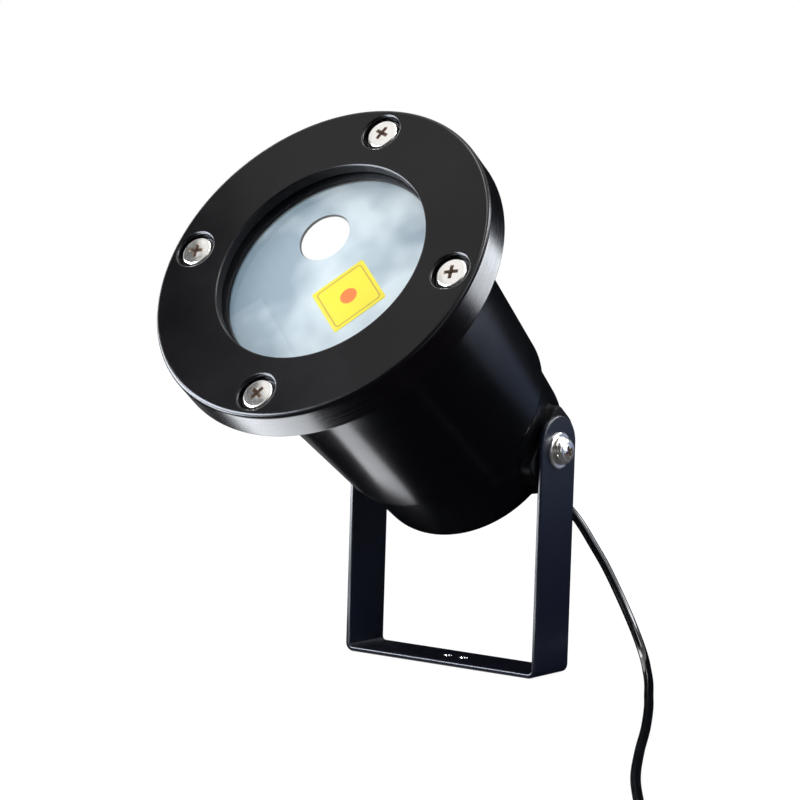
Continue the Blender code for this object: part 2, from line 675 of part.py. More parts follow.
def make_laser_module():
    """Bored barrel with its lens, retaining ring and diode, behind the aperture."""
    spot = (APERTURE_X, APERTURE_Y, 0)
    rear = LASER_FRONT + LASER_LENGTH
    shoulder = LASER_FRONT + LENS_BORE_DEPTH
    diode_floor = rear - DIODE_BORE_DEPTH
    barrel = [
        (LENS_BORE_R, z_at(LASER_FRONT)), (LASER_R, z_at(LASER_FRONT)), (LASER_R, z_at(rear)),
        (DIODE_BORE_R, z_at(rear)), (DIODE_BORE_R, z_at(diode_floor)),
        (BEAM_BORE_R, z_at(diode_floor)), (BEAM_BORE_R, z_at(shoulder)),
        (LENS_BORE_R, z_at(shoulder)),
    ]
    turned("laser_barrel", barrel, MEDIUM_STEPS, "brass", head_pivot, spot)

    lens_r = LENS_BORE_R - RADIAL_GAP
    lens_rear = shoulder - SEAT_GAP
    lens_front = lens_rear - LENS_EDGE
    lens = [
        (0, z_at(lens_front - LENS_CROWN)),
        (lens_r * 0.5, z_at(lens_front - LENS_CROWN * 0.75)),
        (lens_r - LENS_RING_WALL - RADIAL_GAP, z_at(lens_front)),
        (lens_r, z_at(lens_front)),
        (lens_r, z_at(lens_rear)),
        (0, z_at(lens_rear)),
    ]
    turned("collimator_lens", lens, MEDIUM_STEPS, "clear_glass", head_pivot, spot)

    ring_rear = lens_front - SEAT_GAP
    ring_front = ring_rear - LENS_RING_THICK
    ring_inner = lens_r - LENS_RING_WALL
    ring = [(ring_inner, z_at(ring_front)), (lens_r, z_at(ring_front)),
            (lens_r, z_at(ring_rear)), (ring_inner, z_at(ring_rear))]
    turned("lens_ring", ring, MEDIUM_STEPS, "brass", head_pivot, spot)

    base_r = DIODE_BORE_R - RADIAL_GAP
    can_r = BEAM_BORE_R - RADIAL_GAP
    base_front = diode_floor + SEAT_GAP
    diode = [
        (0, z_at(base_front - DIODE_CAN_HEIGHT)), (can_r, z_at(base_front - DIODE_CAN_HEIGHT)),
        (can_r, z_at(base_front)), (base_r, z_at(base_front)),
        (base_r, z_at(base_front + DIODE_BASE_THICK)), (0, z_at(base_front + DIODE_BASE_THICK)),
    ]
    turned("laser_diode", diode, MEDIUM_STEPS, "brass", head_pivot, spot)


def fin_loop():
    """Outline of the heat sink: teeth of equal width round its rim."""
    root_r = SINK_R - FIN_DEPTH
    tooth = math.tau / FIN_COUNT / 4
    loop = []
    for index in range(FIN_COUNT):
        middle = math.tau * (index + 0.5) / FIN_COUNT
        for offset, radius in ((-tooth, SINK_R), (tooth, SINK_R), (tooth, root_r),
                               (math.tau / FIN_COUNT - tooth, root_r)):
            angle = middle + offset
            loop.append((radius * math.cos(angle), radius * math.sin(angle)))
    return loop


def make_heat_sink():
    middle = z_at(SINK_FRONT + SINK_LENGTH / 2)
    sink = outline("heat_sink", [fin_loop()], SINK_LENGTH, "bare_aluminium", head_pivot,
                   (0, 0, middle))
    laser_bore = disc("laser_bore", LASER_R + RADIAL_GAP, SINK_FRONT - SINK_LENGTH,
                      3 * SINK_LENGTH, MEDIUM_STEPS, None, 0.0, (APERTURE_X, APERTURE_Y),
                      cutter_collection)
    motor_bore = disc("motor_bore", MOTOR_R + RADIAL_GAP, SINK_FRONT - SINK_LENGTH,
                      3 * SINK_LENGTH, MEDIUM_STEPS, None, 0.0, (0, 0), cutter_collection)
    cut(sink, laser_bore)
    cut(sink, motor_bore)


def make_motor_and_wheel():
    """Small motor on the lamp axis; its wheel turns the grating in front of the laser."""
    nose_front = MOTOR_FRONT - MOTOR_NOSE
    shaft_front = MOTOR_FRONT - SHAFT_LENGTH
    rear = MOTOR_FRONT + MOTOR_LENGTH
    motor = [
        (0, z_at(shaft_front)), (SHAFT_R, z_at(shaft_front)), (SHAFT_R, z_at(nose_front)),
        (MOTOR_NOSE_R, z_at(nose_front)), (MOTOR_NOSE_R, z_at(MOTOR_FRONT)),
        (MOTOR_R, z_at(MOTOR_FRONT)), (MOTOR_R, z_at(rear)), (0, z_at(rear)),
    ]
    turned("grating_motor", motor, MEDIUM_STEPS, "bare_aluminium", head_pivot)
    bore_r = SHAFT_R + SHAFT_GAP
    wheel_rear = WHEEL_FRONT + WHEEL_THICK
    hub_rear = WHEEL_FRONT + HUB_LENGTH
    wheel = [
        (bore_r, z_at(WHEEL_FRONT)), (WHEEL_R, z_at(WHEEL_FRONT)), (WHEEL_R, z_at(wheel_rear)),
        (HUB_R, z_at(wheel_rear)), (HUB_R, z_at(hub_rear)), (bore_r, z_at(hub_rear)),
    ]
    turned("grating_wheel", wheel, LARGE_STEPS, "grating_film", head_pivot)


def make_driver_board():
    """Board on three standoffs behind the heat sink, with its larger components."""
    board = disc("driver_board", BOARD_R, BOARD_FRONT, BOARD_THICK, LARGE_STEPS, "board_green")
    bore_r = BOARD_SCREW_R + RADIAL_GAP
    foot = SINK_REAR + SEAT_GAP
    head_under = BOARD_REAR + SEAT_GAP
    bore_floor = head_under - BOARD_SCREW_LENGTH - SEAT_GAP
    for index in range(STANDOFFS):
        x, y = circle_place(STANDOFF_CIRCLE_R, index, STANDOFFS, 90.0)
        standoff = [
            (0, z_at(foot)), (STANDOFF_R, z_at(foot)),
            (STANDOFF_R, z_at(foot + STANDOFF_LENGTH)), (bore_r, z_at(foot + STANDOFF_LENGTH)),
            (bore_r, z_at(bore_floor)), (0, z_at(bore_floor)),
        ]
        turned(f"board_standoff_{index + 1}", standoff, SMALL_STEPS, "brass", head_pivot,
               (x, y, 0))
        hole = disc(f"board_hole_{index}", bore_r, BOARD_FRONT - BOARD_THICK, 3 * BOARD_THICK,
                    SMALL_STEPS, None, 0.0, (x, y), cutter_collection)
        cut(board, hole)
        turned(f"board_screw_{index + 1}",
               screw_profile(BOARD_HEAD_R, BOARD_HEAD_HEIGHT, BOARD_SCREW_R, BOARD_SCREW_LENGTH),
               SMALL_STEPS, "nickel", head_pivot, (x, y, z_at(head_under)), (math.pi, 0, 0))
    seat = BOARD_REAR + SEAT_GAP
    flange = COIL_CORE_HEIGHT * 0.2
    waist_r = COIL_CORE_R * 0.8
    core_rear = seat + COIL_CORE_HEIGHT
    core = [
        (0, z_at(seat)), (COIL_CORE_R, z_at(seat)), (COIL_CORE_R, z_at(seat + flange)),
        (waist_r, z_at(seat + flange)), (waist_r, z_at(core_rear - flange)),
        (COIL_CORE_R, z_at(core_rear - flange)), (COIL_CORE_R, z_at(core_rear)),
        (0, z_at(core_rear)),
    ]
    turned("driver_choke", core, MEDIUM_STEPS, "component_black", head_pivot,
           (*COIL_CORE_PLACE, 0))
    disc("driver_capacitor", CAPACITOR_R, seat, CAPACITOR_HEIGHT, MEDIUM_STEPS,
         "component_black", 0.0, CAPACITOR_PLACE)
    block("driver_chip", CHIP_SIZE, "component_black", head_pivot,
          (*CHIP_PLACE, z_at(seat + CHIP_SIZE[2] / 2)))
    block("wire_terminal", TERMINAL_SIZE, "board_green", head_pivot,
          (*TERMINAL_PLACE, z_at(seat + TERMINAL_SIZE[2] / 2)))


def make_inner_wires():
    """Wires between diode, motor, board and gland, each a small tube."""
    diode_rear = (LASER_FRONT + LASER_LENGTH - DIODE_BORE_DEPTH + SEAT_GAP + DIODE_BASE_THICK)
    motor_rear = MOTOR_FRONT + MOTOR_LENGTH
    runs = (
        ("laser_wire_red", APERTURE_X + 2 * WIRE_R, APERTURE_Y, diode_rear, "wire_red"),
        ("laser_wire_black", APERTURE_X - 2 * WIRE_R, APERTURE_Y, diode_rear, "cord_black"),
        ("motor_wire_red", 3 * WIRE_R, 0.0, motor_rear, "wire_red"),
        ("motor_wire_black", -3 * WIRE_R, 0.0, motor_rear, "cord_black"),
    )
    for name, x, y, start, material in runs:
        top = z_at(start + SEAT_GAP)
        bottom = z_at(BOARD_FRONT - SEAT_GAP)
        sag = 0.8 * MM
        heights = np.linspace(top, bottom, 7)
        points = [(x, y + sag * math.sin(math.pi * i / 6) ** 2, z) for i, z in enumerate(heights)]
        tube(name, points, WIRE_R, 1, material, head_pivot)
    gland_inner = GLAND_SHOULDER - GLAND_STUB
    terminal_rear = BOARD_REAR + SEAT_GAP + TERMINAL_SIZE[2]
    for name, sign, material in (("supply_wire_red", 1, "wire_red"),
                                 ("supply_wire_black", -1, "cord_black")):
        start = Vector((sign * 2 * SUPPLY_WIRE_R, 0, z_at(gland_inner - SEAT_GAP)))
        end = Vector((sign * TERMINAL_SIZE[0] / 4, TERMINAL_PLACE[1],
                      z_at(terminal_rear + SEAT_GAP)))
        points = []
        for i in range(9):
            t = i / 8
            blend = t * t * (3 - 2 * t)
            points.append((start.x + (end.x - start.x) * blend,
                           start.y + (end.y - start.y) * blend,
                           start.z + (end.z - start.z) * t))
        tube(name, points, SUPPLY_WIRE_R, 1, material, head_pivot)


def make_gland():
    """Gland through the rear wall with a tapered boot for the cord, and its nut inside."""
    shoulder = GLAND_SHOULDER
    flange_rear = shoulder + GLAND_FLANGE
    neck = flange_rear + GLAND_BOOT * 0.3
    gland = [
        (0, z_at(shoulder - GLAND_STUB)), (GLAND_R, z_at(shoulder - GLAND_STUB)),
        (GLAND_R, z_at(shoulder)), (GLAND_FLANGE_R, z_at(shoulder)),
        (GLAND_FLANGE_R, z_at(flange_rear - RING_EDGE)),
        (GLAND_FLANGE_R - RING_EDGE, z_at(flange_rear)),
        (GLAND_R, z_at(flange_rear)),
        ((GLAND_R + GLAND_TIP_R) / 2, z_at(neck)),
        (GLAND_TIP_R, z_at(GLAND_TIP)), (0, z_at(GLAND_TIP)),
    ]
    turned("cord_gland", gland, MEDIUM_STEPS, "black_rubber", head_pivot)
    corner_r = NUT_FLATS_R / math.cos(math.pi / 6)
    hexagon = [circle_place(corner_r, i, 6) for i in range(6)]
    nut_rear = HOUSING_LENGTH - REAR_WALL - SEAT_GAP
    nut = outline("gland_nut", [hexagon], NUT_THICK, "component_black", head_pivot,
                  (0, 0, z_at(nut_rear - NUT_THICK / 2)))
    bore = disc("nut_bore", GLAND_R + RADIAL_GAP, nut_rear - 2 * NUT_THICK, 3 * NUT_THICK,
                MEDIUM_STEPS, None, 0.0, (0, 0), cutter_collection)
    cut(nut, bore)


def coil_points():
    """Centre line of the coil: spirals in and out, and climbs a layer at each reversal."""
    lift = math.radians(COIL_ENTRY_DEG - COIL_EXIT_DEG) / math.tau
    turns = COIL_WHOLE_TURNS + lift
    climbs = COIL_LAYERS - 1
    layer_turns = (turns - 0.5 * climbs) / COIL_LAYERS
    width = layer_turns * COIL_PITCH
    outer_r = COIL_MIDDLE_R + width / 2
    inner_r = COIL_MIDDLE_R - width / 2
    floor_z = TIE_THICK + SEAT_GAP + CORD_R
    count = int(round(turns * COIL_POINTS_A_TURN))
    points = []
    for i in range(count + 1):
        turn = turns * i / count
        layer = min(int(turn / (layer_turns + 0.5)), COIL_LAYERS - 1)
        into = turn - layer * (layer_turns + 0.5)
        share = min(into / layer_turns, 1.0)
        climb = max(into - layer_turns, 0.0) / 0.5
        inward = layer % 2 == 0
        radius = outer_r - width * share if inward else inner_r + width * share
        height = floor_z + COIL_PITCH * (layer + climb)
        angle = math.radians(COIL_ENTRY_DEG) - math.tau * turn
        points.append((COIL_CENTRE[0] + radius * math.cos(angle),
                       COIL_CENTRE[1] + radius * math.sin(angle), height))
    return np.array(points), inner_r, outer_r


def least_self_gap(points, radius):
    """Least clear distance between stretches of a wound tube half a turn apart or more."""
    fine = []
    for a, b in zip(points[:-1], points[1:]):
        for t in (0.0, 0.25, 0.5, 0.75):
            fine.append(a + (b - a) * t)
    fine = np.array(fine)
    apart = COIL_POINTS_A_TURN * 4 // 2
    least = math.inf
    for i in range(0, len(fine) - apart):
        least = min(least, np.linalg.norm(fine[i + apart:] - fine[i], axis=1).min())
    return least - 2 * radius


def clockwise(angle_deg):
    """Direction of travel at an angle on a coil wound clockwise from above."""
    angle = math.radians(angle_deg)
    return np.array([math.sin(angle), -math.cos(angle), 0.0])


def make_cord():
    """Free lead, wound coil with its tie, tail and plug."""
    coil, inner_r, outer_r = coil_points()
    straight = 2 * CORD_R
    start = coil[0] - clockwise(COIL_ENTRY_DEG) * straight
    end = coil[-1] + clockwise(COIL_EXIT_DEG) * straight
    coil = np.vstack([start, coil, end])
    tube("cord_coil", coil, CORD_R, 1, "cord_black")
    gap = least_self_gap(coil, CORD_R)
    coil_length = np.linalg.norm(np.diff(coil, axis=0), axis=1).sum()
    print(f"coil: least gap between turns {gap / MM:.2f} mm, over {COIL_LEAST_GAP / MM} wanted")

    join = start - clockwise(COIL_ENTRY_DEG) * SEAT_GAP
    route = [tuple(v * MM for v in point) for point in LEAD_ROUTE_MM] + [tuple(join)]
    lead, lead_length = smooth_route(route, CORD_POINT_STEP)
    tube("cord_lead", lead, CORD_R, 2, "cord_black")

    heading = clockwise(COIL_EXIT_DEG)
    tail_start = end + heading * SEAT_GAP
    drop = tail_start[2] - TAIL_ROUTE_MM[0][1] * MM
    tail_route = []
    for run, height in TAIL_ROUTE_MM:
        share = 1 - run / TAIL_ROUTE_MM[-1][0]
        place_xyz = tail_start + heading * run * MM
        place_xyz[2] = height * MM + drop * share
        tail_route.append(tuple(place_xyz))
    tail, tail_length = smooth_route(tail_route, CORD_POINT_STEP / 2)
    tube("cord_tail", tail, CORD_R, 2, "cord_black")
    total = coil_length + lead_length + tail_length
    print(f"cord: lead {lead_length:.3f} m, coil {coil_length:.3f} m, in all {total:.3f} m")
    make_tie(inner_r, outer_r)
    make_plug(tail[-1], heading)


def make_tie(inner_r, outer_r):
    """Strap round all the turns at one place on the coil."""
    inner_width = outer_r - inner_r + 2 * (CORD_R + SEAT_GAP)
    inner_height = (COIL_LAYERS - 1) * COIL_PITCH + 2 * (CORD_R + SEAT_GAP)
    outer_loop = rounded_box_loop(inner_width + 2 * TIE_THICK, inner_height + 2 * TIE_THICK,
                                  TIE_CORNER + TIE_THICK, 3)
    inner_loop = rounded_box_loop(inner_width, inner_height, TIE_CORNER / 2, 3)
    angle = math.radians(TIE_ANGLE_DEG)
    spot = (COIL_CENTRE[0] + COIL_MIDDLE_R * math.cos(angle),
            COIL_CENTRE[1] + COIL_MIDDLE_R * math.sin(angle),
            TIE_THICK + inner_height / 2)
    outline("coil_tie", [outer_loop, inner_loop], TIE_WIDTH, "tie_white", None, spot,
            (math.pi / 2, 0, angle))


def make_plug(tail_end, heading):
    """Moulded low-voltage plug lying on the floor: tapered sleeve, grip and bored barrel."""
    turn = Vector((0, 0, 1)).rotation_difference(Vector(heading)).to_euler()
    start = Vector(tail_end) + Vector(heading) * SEAT_GAP
    sleeve_end = PLUG_SLEEVE_LENGTH
    grip_end = sleeve_end + PLUG_GRIP_LENGTH
    body = [
        (0, grip_end), (PLUG_GRIP_R - RING_EDGE, grip_end), (PLUG_GRIP_R, grip_end - RING_EDGE),
        (PLUG_GRIP_R, sleeve_end + RING_EDGE), (PLUG_GRIP_R - RING_EDGE, sleeve_end),
        (PLUG_GRIP_R * 0.62, sleeve_end), (PLUG_SLEEVE_TIP_R, 0), (0, 0),
    ]
    turned("dc_plug_body", body, MEDIUM_STEPS, "black_rubber", None, start, turn)
    barrel_start = grip_end + SEAT_GAP
    barrel_end = barrel_start + PLUG_BARREL_LENGTH
    floor = barrel_start + PLUG_BARREL_BORE_R
    barrel = [
        (0, floor), (PLUG_BARREL_BORE_R, floor), (PLUG_BARREL_BORE_R, barrel_end),
        (PLUG_BARREL_R, barrel_end), (PLUG_BARREL_R, barrel_start), (0, barrel_start),
    ]
    turned("dc_plug_barrel", barrel, MEDIUM_STEPS, "nickel", None, start, turn)


def settle_modifiers():
    """Turn each piece into its final mesh, round faces smooth and edges sharp."""
    depsgraph = bpy.context.evaluated_depsgraph_get()
    pieces = [obj for obj in part_collection.objects if obj.type == "MESH"]
    meshes = [bpy.data.meshes.new_from_object(obj.evaluated_get(depsgraph), depsgraph=depsgraph)
              for obj in pieces]
    for obj, mesh in zip(pieces, meshes):
        obj.modifiers.clear()
        obj.data = mesh
        mesh.name = obj.name
        mesh.shade_smooth()
        mesh.set_sharp_from_angle(angle=SMOOTH_ANGLE)
    for obj in list(cutter_collection.objects):
        bpy.data.objects.remove(obj, do_unlink=True)


def main():
    global head_pivot
    clear_scene()
    make_materials()
    head_pivot = bpy.data.objects.new("head_pivot", None)
    head_pivot.location = (0, 0, PIVOT_HEIGHT)
    head_pivot.rotation_euler = (math.radians(90.0 - TILT_DEG), 0, 0)
    part_collection.objects.link(head_pivot)
    make_bracket()
    make_face_ring()
    make_face_screws()
    make_front_stack()
    make_housing()
    make_pivot_hardware()
    make_laser_module()
    make_heat_sink()
    make_motor_and_wheel()
    make_driver_board()
    make_inner_wires()
    make_gland()
    make_cord()
    settle_modifiers()


main()
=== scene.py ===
# %% [markdown]
# # An outdoor laser light projector
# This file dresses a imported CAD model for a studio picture. It reads like a notebook: a cell
# of words says what a piece is on the real lamp and why it is made this way, and the cell of
# code under it makes the piece and prints what it made.
#
# All shapes are worked out in millimetres as whole numpy arrays and turned into metres when
# they become a mesh. The lamp's own pieces are worked out in lamp space, where +Z points out
# of the face ring, +X is the pivot line and depths run back from the ring's front face.

# %% Load the frame
import math

import bmesh
import bpy
import numpy as np
from mathutils import Matrix


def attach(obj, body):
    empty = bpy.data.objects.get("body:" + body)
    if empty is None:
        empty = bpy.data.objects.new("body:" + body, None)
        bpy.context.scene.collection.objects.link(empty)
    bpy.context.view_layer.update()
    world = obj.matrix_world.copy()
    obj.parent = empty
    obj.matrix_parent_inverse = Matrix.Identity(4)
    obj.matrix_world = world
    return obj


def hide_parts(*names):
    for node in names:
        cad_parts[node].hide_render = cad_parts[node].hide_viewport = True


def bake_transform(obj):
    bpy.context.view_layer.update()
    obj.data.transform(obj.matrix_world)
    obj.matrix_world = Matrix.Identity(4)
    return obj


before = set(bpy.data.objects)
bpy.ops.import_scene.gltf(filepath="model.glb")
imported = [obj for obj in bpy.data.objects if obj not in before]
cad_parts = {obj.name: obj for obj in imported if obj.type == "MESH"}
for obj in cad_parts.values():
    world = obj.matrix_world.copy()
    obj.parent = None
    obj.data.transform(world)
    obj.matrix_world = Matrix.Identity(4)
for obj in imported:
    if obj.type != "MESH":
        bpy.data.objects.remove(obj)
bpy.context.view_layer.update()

# %% [markdown]
# ## Measures
# They follow the part's source, in millimetres, so each dressed piece lies on its solid. The
# ring and the cord's jacket are drawn a hair smaller than the solids, so that the dressed lamp
# stays inside the CAD model's box. Depths run back from the ring's front face.

# %% Measures shared by several pieces
MM = 0.001                     # metres in a millimetre
PIVOT_HEIGHT = 58.9            # of the pivot line over the floor
PIVOT_DEPTH = 81.5             # of the pivot line behind the ring's face
TILT = math.radians(90.0 - 37.7)
SEAT_GAP = 0.3                 # between pieces that the CAD model keeps apart
RING_R, RING_DEPTH, OPENING_R = 46.49, 9.0, 29.0
LIP_DEPTH, RING_PLATE, FLANGE_POCKET_R, GLASS_POCKET_R = 3.0, 4.6, 43.9, 34.0
SCREW_CIRCLE_R = 39.4
COUNTERBORE_R, COUNTERBORE_DEPTH = 5.05, 2.6
PLATE_FRONT = 8.3
APERTURE_R, APERTURE_XY = 7.0, (-7.8, 11.1)
BARREL_FRONT_R, BARREL_REAR_R, BARREL_END = 34.0, 29.6, 68.2
CUP_FRONT_R, CUP_REAR_R, HOUSING_LENGTH = 28.1, 26.4, 88.7
BOSS_FACE_X = 28.8
STRIP_THICK, STRIP_WIDTH, BEND_INNER_R, ARM_ABOVE_PIVOT = 1.3, 15.5, 1.0, 9.1
CORD_R, JACKET_R = 1.25, 1.21
ROUND_SEGMENTS = 192
HOLD = 0.06                    # width of the narrow faces that keep flat faces flat
WELD_DISTANCE = 2e-6           # in metres; points nearer than this become one

# %% [markdown]
# ## Camera
# The photograph was solved for one camera from the ellipses of the ring and the straight
# edges of the bracket: its place, the directions of its right, up and back, and its lens.

# %% Camera
CAMERA_PLACE = (0.565926, -0.816247, 0.177570)
CAMERA_RIGHT = (0.80976, 0.58596, 0.03079)
CAMERA_UP = (-0.08867, 0.07034, 0.99357)
CAMERA_BACK = (0.58003, -0.80728, 0.10892)
SENSOR_WIDTH = 36.0
FOCAL_PIXELS, IMAGE_PIXELS = 3818.85, 800
CLIP_NEAR, CLIP_FAR = 0.05, 60.0


def placed(turn, place):
    """The 4 by 4 matrix of a 3 by 3 turn and a place."""
    return Matrix(np.block([[turn, np.array(place, float)[:, None]],
                            [np.zeros((1, 3)), np.ones((1, 1))]]).tolist())


camera_data = bpy.data.cameras.new("studio_camera")
camera_data.sensor_width = SENSOR_WIDTH
camera_data.lens = FOCAL_PIXELS * SENSOR_WIDTH / IMAGE_PIXELS
camera_data.clip_start, camera_data.clip_end = CLIP_NEAR, CLIP_FAR
camera = bpy.data.objects.new("studio_camera", camera_data)
bpy.context.scene.collection.objects.link(camera)
solved = np.column_stack([CAMERA_RIGHT, CAMERA_UP, CAMERA_BACK])
axes, _ = np.linalg.qr(solved)             # the same directions, exactly square to each other
axes = axes * np.sign(np.diag(axes.T @ solved))
camera.matrix_world = placed(axes, CAMERA_PLACE)
bpy.context.scene.camera = camera
bpy.context.scene.view_settings.view_transform = "Standard"
print(f"camera: lens {camera_data.lens:.1f} mm, 1 m from the lamp")

# %% [markdown]
# ## Mesh helpers
# Nearly every piece here is a grid of points: rows along one parameter, columns along the
# other. Turned pieces, lofts, straps and cords only differ in the formula that fills the grid.

# %% Helpers: from grids to one mesh
def lamp_to_frame(points):
    """Lamp space to frame space: p' = R p + t, R the tilt about X, t up to the pivot."""
    c, s = math.cos(TILT), math.sin(TILT)
    turn = np.array([[1, 0, 0], [0, c, -s], [0, s, c]])
    return points @ turn.T + np.array([0, 0, PIVOT_HEIGHT])


def at_depth(depth):
    """Lamp height of a depth behind the ring's front face: z = pivot depth - depth."""
    return PIVOT_DEPTH - np.asarray(depth, float)


def grid_faces(rows, columns, wrap_rows, wrap_columns, skip=None):
    """Quads between neighbouring points of a grid; a wrapped side joins its last to its first.

    skip is a function of whole arrays (row, column) that is true where no quad is wanted.
    """
    row = np.arange(rows if wrap_rows else rows - 1)
    column = np.arange(columns if wrap_columns else columns - 1)
    r, c = (a.ravel() for a in np.meshgrid(row, column, indexing="ij"))
    if skip is not None:
        keep = ~skip(r, c)
        r, c = r[keep], c[keep]
    r2, c2 = (r + 1) % rows, (c + 1) % columns
    return np.column_stack([r * columns + c, r * columns + c2, r2 * columns + c2,
                            r2 * columns + c])


def make_piece(name, parts, material, body, sharp_deg=38.0, lamp=True, marked=None):
    """One mesh from grids of points, welded, with outward faces, on its body and slot.

    parts is a list of (grid, wrap_rows, wrap_columns) or (grid, wrap_rows, wrap_columns, skip).
    Points that coincide are merged, which closes seams and poles. marked is a second material
    and a mask over the first part's faces that get it.
    """
    all_points, all_faces, start = [], [], 0
    for part in parts:
        grid, wrap_rows, wrap_columns = part[:3]
        skip = part[3] if len(part) > 3 else None
        rows, columns = grid.shape[:2]
        all_faces.append(grid_faces(rows, columns, wrap_rows, wrap_columns, skip) + start)
        all_points.append(grid.reshape(-1, 3))
        start += rows * columns
    points = np.concatenate(all_points)
    if lamp:
        points = lamp_to_frame(points)
    mesh = bpy.data.meshes.new(name)
    mesh.from_pydata(points * MM, [], np.concatenate(all_faces).tolist())
    work = bmesh.new()
    work.from_mesh(mesh)
    bmesh.ops.remove_doubles(work, verts=work.verts, dist=WELD_DISTANCE)
    bmesh.ops.recalc_face_normals(work, faces=work.faces)
    work.to_mesh(mesh)
    open_edges = sum(1 for edge in work.edges if not edge.is_manifold)
    work.free()
    mesh.shade_smooth()
    mesh.set_sharp_from_angle(angle=math.radians(sharp_deg))
    piece = bpy.data.objects.new(name, mesh)
    bpy.context.scene.collection.objects.link(piece)
    mesh.materials.append(material)
    if marked:
        mesh.materials.append(marked[0])
        for index in np.flatnonzero(marked[1]):
            mesh.polygons[int(index)].material_index = 1
    if body:
        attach(piece, body)
    print(f"{name}: {len(mesh.polygons)} faces" + (f", {open_edges} open" if open_edges else ""))
    return piece


# %% Helpers: profiles
def filleted(corners, radii, steps=4, hold=HOLD):
    """An open profile with its corners rounded to arcs tangent to both sides.

    At a corner the arc starts r*tan(turn/2) before it, and a hold point lies just outside
    each end of the arc, so that smooth shading bends only across the arc.
    """
    corners = np.asarray(corners, float)
    out = [corners[0]]
    for before, corner, after, radius in zip(corners[:-2], corners[1:-1], corners[2:], radii):
        if radius <= 0:
            out.append(corner)
            continue
        a = (before - corner) / np.linalg.norm(before - corner)
        b = (after - corner) / np.linalg.norm(after - corner)
        half = math.acos(np.clip(a @ b, -1, 1)) / 2
        reach = radius / math.tan(half)
        centre = corner + (a + b) / np.linalg.norm(a + b) * radius / math.sin(half)
        start, end = corner + a * reach - centre, corner + b * reach - centre
        sweep = math.pi - 2 * half
        t = np.linspace(0, 1, steps + 1)[:, None]
        turned = (np.sin((1 - t) * sweep) * start + np.sin(t * sweep) * end) / math.sin(sweep)
        out.append(corner + a * (reach + hold))
        out.extend(centre + turned)
        out.append(corner + b * (reach + hold))
    out.append(corners[-1])
    return np.array(out)


def depth_profile(corners, radii, steps=4):
    """A filleted profile given as (radius, depth), with its depths made lamp heights."""
    profile = filleted(corners, radii, steps)
    profile[:, 1] = at_depth(profile[:, 1])
    return profile


def angles(segments):
    """Equal steps round a full turn, without the last, which would repeat the first."""
    return np.arange(segments) * math.tau / segments


def circle(radius, segments):
    """Loop of points on a circle: (r cos a, r sin a)."""
    a = angles(segments)
    return radius * np.column_stack([np.cos(a), np.sin(a)])


def revolved(profile, segments=ROUND_SEGMENTS, centre=(0.0, 0.0)):
    """Grid of a profile of (radius, z) turned about z: (r cos a, r sin a, z)."""
    a = angles(segments)
    r, z = profile[:, 0][:, None], profile[:, 1][:, None]
    return np.stack([centre[0] + r * np.cos(a), centre[1] + r * np.sin(a), z + 0 * a], axis=-1)


def loop_rows(loop, scales, heights):
    """Rows of one flat loop scaled about its origin, each row at its own height."""
    flat = np.asarray(scales)[:, None, None] * loop
    z = np.broadcast_to(np.asarray(heights, float)[:, None, None], (*flat.shape[:2], 1))
    return np.concatenate([flat, z], axis=-1)


def closed_ends(grid):
    """A grid with its first and last row gathered to their middle, which closes its ends."""
    first = np.broadcast_to(grid[0].mean(axis=0), grid[:1].shape)
    last = np.broadcast_to(grid[-1].mean(axis=0), grid[-1:].shape)
    return np.concatenate([first, grid, last])


def rounded_rectangle(width, height, radius, steps=6, left_radius=None):
    """Loop of a rectangle with round corners: corner centres plus r (cos a, sin a).

    The two corners towards -X can have a radius of their own.
    """
    a = np.linspace(0, math.pi / 2, steps + 1)
    loop = []
    for k, (sx, sy) in enumerate(((1, 1), (-1, 1), (-1, -1), (1, -1))):
        angle = a + k * math.pi / 2
        r = left_radius if left_radius and sx < 0 else radius
        loop.append(np.column_stack([sx * (width / 2 - r) + r * np.cos(angle),
                                     sy * (height / 2 - r) + r * np.sin(angle)]))
    return np.concatenate(loop)


# %% [markdown]
# ## Material helpers
# A finish on a real part is a base colour plus small things: orange peel in the paint, turning
# marks under it, fine scratches in plating. Each of these is a node group that gives a colour,
# a roughness and a normal, so every material can use it at its own strength.

# %% Helpers: nodes
def new_finish_group(name, color, roughness, effects):
    """A shader group: Color, Roughness and effects in, Color, Roughness and Normal out."""
    group = bpy.data.node_groups.new(name, "ShaderNodeTree")
    inputs = [("Color", "NodeSocketColor", (*color, 1.0)),
              ("Roughness", "NodeSocketFloat", roughness)]
    inputs += [(label, "NodeSocketFloat", value) for label, value in effects.items()]
    for label, kind, default in inputs:
        socket = group.interface.new_socket(name=label, in_out="INPUT", socket_type=kind)
        socket.default_value = default
    for label, kind in (("Color", "NodeSocketColor"), ("Roughness", "NodeSocketFloat"),
                        ("Normal", "NodeSocketVector")):
        group.interface.new_socket(name=label, in_out="OUTPUT", socket_type=kind)
    entry = group.nodes.new("NodeGroupInput")
    leave = group.nodes.new("NodeGroupOutput")
    return group, entry.outputs, leave.inputs


def new_material(name):
    """A material with its node tree and its Principled shader."""
    material = bpy.data.materials.new(name)
    material.use_nodes = True
    return material, material.node_tree, material.node_tree.nodes["Principled BSDF"]


def math_node(tree, operation, a, b):
    """A Math node on two links or numbers, giving its output."""
    made = tree.nodes.new("ShaderNodeMath")
    made.operation = operation
    for index, value in enumerate((a, b)):
        if isinstance(value, bpy.types.NodeSocket):
            tree.links.new(value, made.inputs[index])
        else:
            made.inputs[index].default_value = value
    return made.outputs[0]


